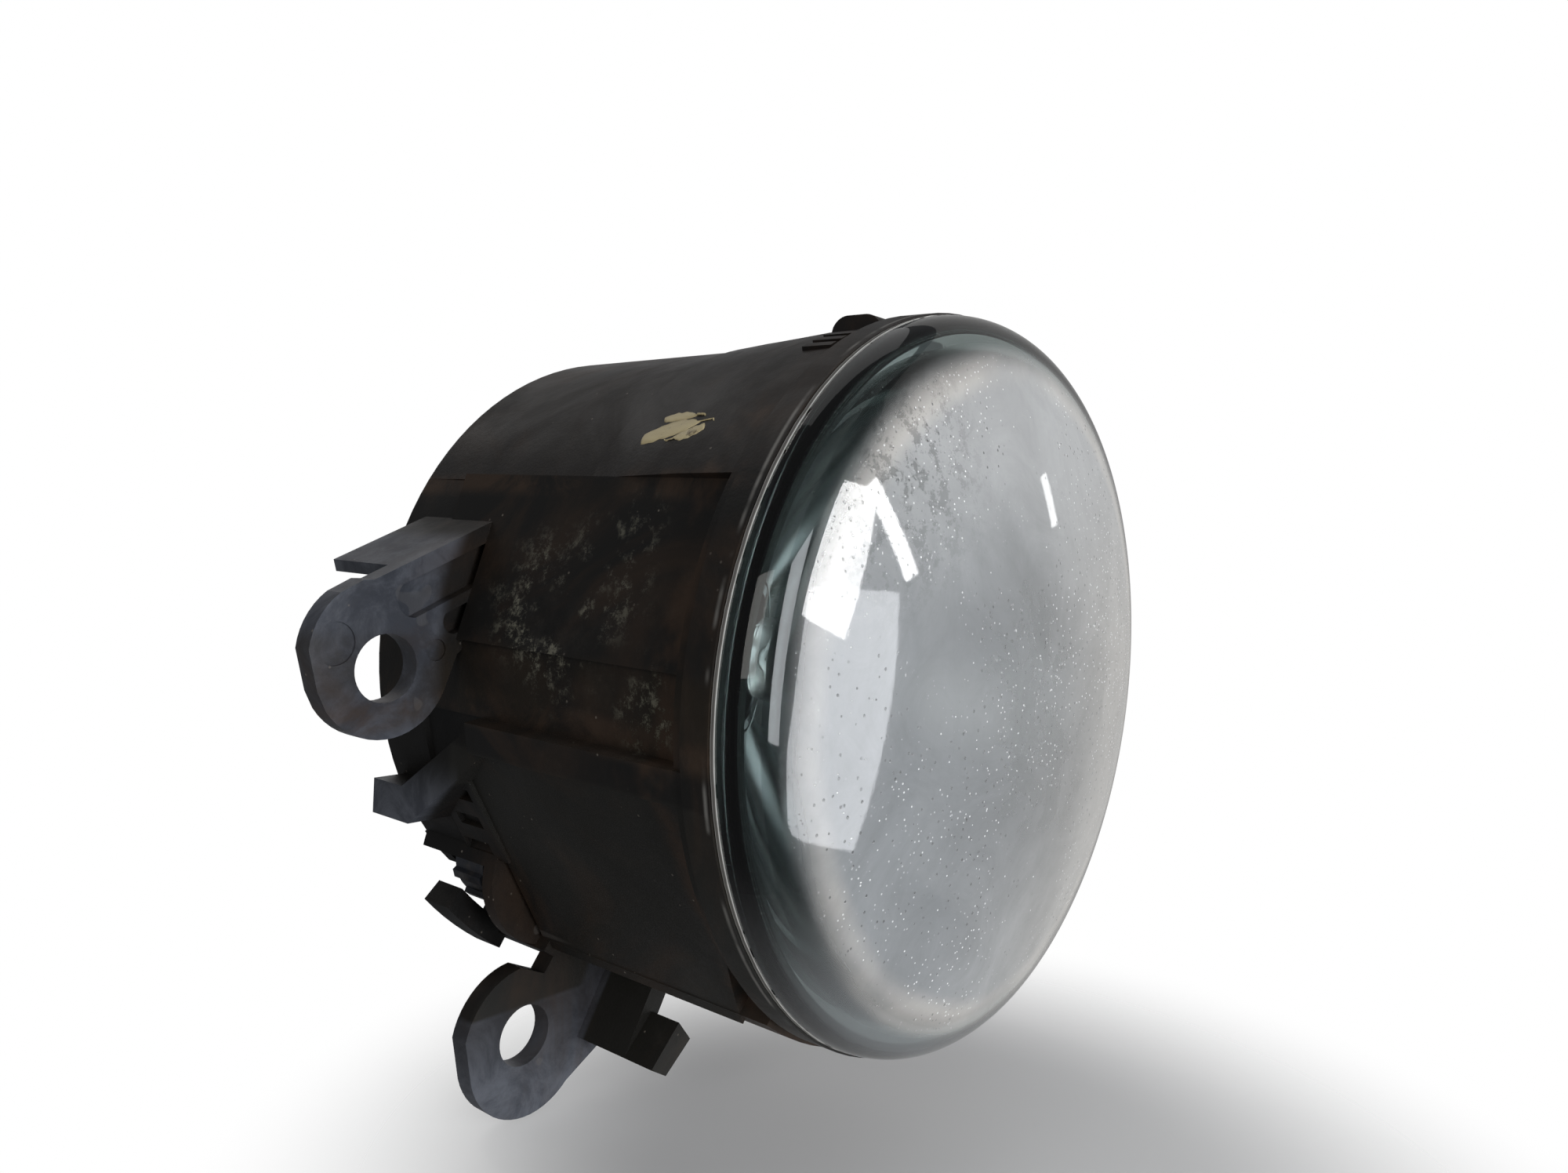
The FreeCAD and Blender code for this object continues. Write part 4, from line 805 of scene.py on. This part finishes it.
def stroke_row(number, start, bend, end, half_width, row):
    """One row of paint across a brush stroke, thickest in the middle and ragged at its edges."""
    t = row / STROKE_ROWS
    clock, y = (bent(*along, t) for along in zip(start, bend, end))
    swell = math.sin(math.pi * min(1, t * 1.15 + 0.10)) ** 0.5 if t < 0.98 else 0.35
    sunk = 0 if 0 < row < STROKE_ROWS else 0.15
    points = []
    for lane in range(STROKE_LANES):
        u = lane / (STROKE_LANES - 1) * 2 - 1
        ragged = 1 + 0.22 * noise.noise(Vector((t * 9, u * 3, number * 5)))
        bristles = 0.7 + 0.3 * noise.noise(Vector((t * 30, u * 12, number)))
        radius = dome_radius(y) + 0.02 + 0.16 * (1 - u * u) * bristles - sunk
        off = math.degrees(u * half_width * swell * ragged / STROKE_BASE_R)
        points.append(on_round(clock + off, radius, y + u * 0.25))
    return points


def make_daub(material):
    """A loose dab of marking paint on the dome: overlapping brush strokes in no particular shape."""
    for number, stroke in enumerate(STROKES):
        vertices, faces = [], []
        for row in range(STROKE_ROWS + 1):
            vertices += stroke_row(number, *stroke, row)
        for row in range(STROKE_ROWS):
            for lane in range(STROKE_LANES - 1):
                i = row * STROKE_LANES + lane
                faces.append((i, i + 1, i + STROKE_LANES + 1, i + STROKE_LANES))
        daub = new_piece(f"paint_stroke_{number}", vertices, faces, material, "root")
        solid = daub.modifiers.new("body", "SOLIDIFY")
        solid.thickness = PAINT_THICKNESS
        solid.offset = -1.0


# --- assembly --------------------------------------------------------------------------------

BLACK = housing_plastic()
STEEL = metal("zinc_steel", (0.55, 0.55, 0.56), 0.30, (0.1, 1, 1))
NYLON = plain_plastic("natural_nylon", (0.62, 0.59, 0.51), 0.42, 0.2)
GEAR = plain_plastic("gear_plastic", (0.030, 0.034, 0.045), 0.42, 0.35)
RUBBER = plain_plastic("seal_rubber", (0.018, 0.018, 0.018), 0.6, 0.2, level=0.3)
BASE = plain_plastic("base_plastic", (0.020, 0.020, 0.021), 0.45, 0.12)
SILICONE = plain_plastic("silicone", (0.52, 0.14, 0.04), 0.45, 0.15)
TIN = metal("tinned_brass", (0.72, 0.69, 0.62), 0.26, (1, 1, 0.1))
TUNGSTEN = metal("tungsten", (0.42, 0.41, 0.40), 0.35, (0.2, 1, 1), 0.05)
MIRROR = mirror_coat()

FINISHES = {
    "housing": BLACK,
    "reflector": MIRROR,
    "pivot_pins": STEEL,
    "left_pivot_bush": NYLON,
    "right_pivot_bush": NYLON,
    "adjuster_screw": STEEL,
    "adjuster_washer": STEEL,
    "adjuster_seal": RUBBER,
    "adjuster_gear": GEAR,
    "adjuster_nut": NYLON,
    "lug_clip": NYLON,
    "bulb_leads": TUNGSTEN,
    "bulb_sleeve": STEEL,
    "bulb_base": BASE,
    "bulb_seal": SILICONE,
    "bulb_terminals": TIN,
    "vent_patch": woven_patch(),
}
EDGE_RADII = {"housing": 0.22 * MM, "adjuster_gear": 0.12 * MM, "bulb_base": 0.25 * MM, "lug_clip": 0.15 * MM}

for name, material in FINISHES.items():
    NODES[name].data.materials.clear()
    NODES[name].data.materials.append(material)
for name, width in EDGE_RADII.items():
    soften(NODES[name], width)

make_lens(lens_outside(), lens_inside())
make_seal(seal_bead())
make_mirror(MIRROR)
make_capsule(quartz())
make_coil(TUNGSTEN)
make_daub(paint_daub())
for number, clock in enumerate(TICK_CLOCKS):
    make_tick(f"collar_tick_{number}", clock, BLACK)


# --- stage -----------------------------------------------------------------------------------

FLOOR_DROP = 0.5 * MM
FLOOR_RINGS = (0.0005, 0.03, 0.06, 0.09)
FLOOR_SIDES = 64
FLOOR_FADE = (0.030, 0.088)

NEUTRAL = (1.0, 1.0, 1.0)
SKY = (0.94, 0.96, 1.0)
COOL = (0.93, 0.96, 1.0)
ROOM = (1.0, 0.98, 0.95)
WARM = (1.0, 0.97, 0.93)
GLEAM = (1.0, 0.96, 0.92)
REAR = (0.98, 0.98, 1.0)
LAMP_TARGET = Vector((-0.03, -0.005, 0.0))
WORLD_LIGHT = (0.93, 0.96, 1.0)
WORLD_STRENGTH = 0.14

CAMERA_PLACE = (-0.1265, -0.0730, 0.0173)
CAMERA_AHEAD = (0.783, 0.621, -0.044)
CAMERA_UP = (0, 0.071, 0.9975)


def make_floor():
    """Plain pale floor under the lowest ear, which fades out round the contact shadow."""
    level = HOUSING_LO.z - FLOOR_DROP
    vertices, faces = [], [tuple(range(FLOOR_SIDES))]
    for r in FLOOR_RINGS:
        for k in range(FLOOR_SIDES):
            angle = 2 * math.pi * k / FLOOR_SIDES
            vertices.append((r * math.cos(angle), r * math.sin(angle), level))
    for ring in range(len(FLOOR_RINGS) - 1):
        a, b = ring * FLOOR_SIDES, (ring + 1) * FLOOR_SIDES
        for k in range(FLOOR_SIDES):
            n = (k + 1) % FLOOR_SIDES
            faces.append((a + k, a + n, b + n, b + k))
    mesh = bpy.data.meshes.new("floor")
    mesh.from_pydata(vertices, [], faces)
    floor = in_scene("floor", mesh)
    f = Finish("pale_floor")
    tone = f.mix(f.noise(3, 3), (0.86, 0.86, 0.86), (0.90, 0.90, 0.90))
    pale = f.principled(Base_Color=tone, Roughness=0.8, Specular_IOR_Level=0.1)
    away = f.math("SQRT", f.plus(f.times(f.x, f.x), f.times(f.y, f.y)))
    gone = f.range(away, *FLOOR_FADE)
    mesh.materials.append(f.finish_mixed(gone, pale, f.node("ShaderNodeBsdfTransparent")))


def from_angles(azimuth, elevation):
    """Direction with an azimuth from -Y towards +X and an elevation, in degrees."""
    a, e = math.radians(azimuth), math.radians(elevation)
    return (math.sin(a) * math.cos(e), -math.cos(a) * math.cos(e), math.sin(e))


def softbox(name, towards, distance, size, watts, colour, roll=0):
    """Rectangular area lamp standing in a direction from the object and facing it."""
    data = bpy.data.lights.new(name, "AREA")
    data.shape = "RECTANGLE"
    data.size, data.size_y = size
    data.energy = watts
    data.color = colour
    lamp = in_scene(name, data)
    aim = Vector(towards).normalized()
    lamp.location = LAMP_TARGET + aim * distance
    lamp.rotation_mode = "QUATERNION"
    lamp.rotation_quaternion = aim.to_track_quat("Z", "Y") @ Quaternion((0, 0, 1), math.radians(roll))


def make_world():
    """White surroundings for the camera, and a dimmer even light on the object."""
    world = bpy.data.worlds.new("studio")
    bpy.context.scene.world = world
    world.use_nodes = True
    tree = world.node_tree
    tree.nodes.clear()
    mixed = tree.nodes.new("ShaderNodeMixShader")
    ray = tree.nodes.new("ShaderNodeLightPath")
    tree.links.new(ray.outputs["Is Camera Ray"], mixed.inputs[0])
    for socket, colour, strength in ((1, WORLD_LIGHT, WORLD_STRENGTH), (2, NEUTRAL, 1.0)):
        background = tree.nodes.new("ShaderNodeBackground")
        background.inputs["Color"].default_value = (*colour, 1)
        background.inputs["Strength"].default_value = strength
        tree.links.new(background.outputs[0], mixed.inputs[socket])
    output = tree.nodes.new("ShaderNodeOutputWorld")
    tree.links.new(mixed.outputs[0], output.inputs["Surface"])


def make_camera():
    data = bpy.data.cameras.new("camera")
    data.lens = 27.0
    data.sensor_width = 36.0
    data.clip_start = 0.005
    data.clip_end = 50.0
    camera = in_scene("camera", data)
    ahead = Vector(CAMERA_AHEAD).normalized()
    right = ahead.cross(Vector(CAMERA_UP)).normalized()
    turn = Matrix((right, right.cross(ahead), -ahead)).transposed()
    camera.matrix_world = Matrix.Translation(CAMERA_PLACE) @ turn.to_4x4()
    bpy.context.scene.camera = camera


make_floor()
make_world()
# the first two are the window that shows in the glass, the third the paler wall below it
softbox("window_pane", from_angles(22.0, 11.5), 0.9, (0.16, 0.30), 2.1, NEUTRAL, roll=-24)
softbox("window_side", from_angles(32.5, 13.5), 0.9, (0.04, 0.20), 0.50, NEUTRAL, roll=22)
softbox("bright_wall", from_angles(22.5, -8.5), 0.9, (0.27, 0.50), 2.7, SKY, roll=-6)
softbox("side_room", from_angles(78, 12), 1.2, (2.2, 2.2), 4.5, ROOM)
softbox("strip", from_angles(68, 12), 0.9, (0.030, 0.080), 0.036, NEUTRAL, roll=4)
softbox("front_left", from_angles(-14, 6), 1.0, (0.40, 0.70), 5.5, COOL)
softbox("overhead", (0.25, 0.5, 1.0), 1.2, (0.9, 0.9), 1.1, NEUTRAL)
softbox("dome_gleam", from_angles(180, 46), 1.0, (0.05, 0.30), 0.35, GLEAM)
softbox("left_fill", (-1.0, -0.35, 0.30), 1.4, (0.7, 0.7), 3.0, WARM)
softbox("rear_fill", from_angles(148, 2), 1.2, (1.0, 1.0), 4.0, REAR)
make_camera()
bpy.context.scene.view_settings.view_transform = "Standard"
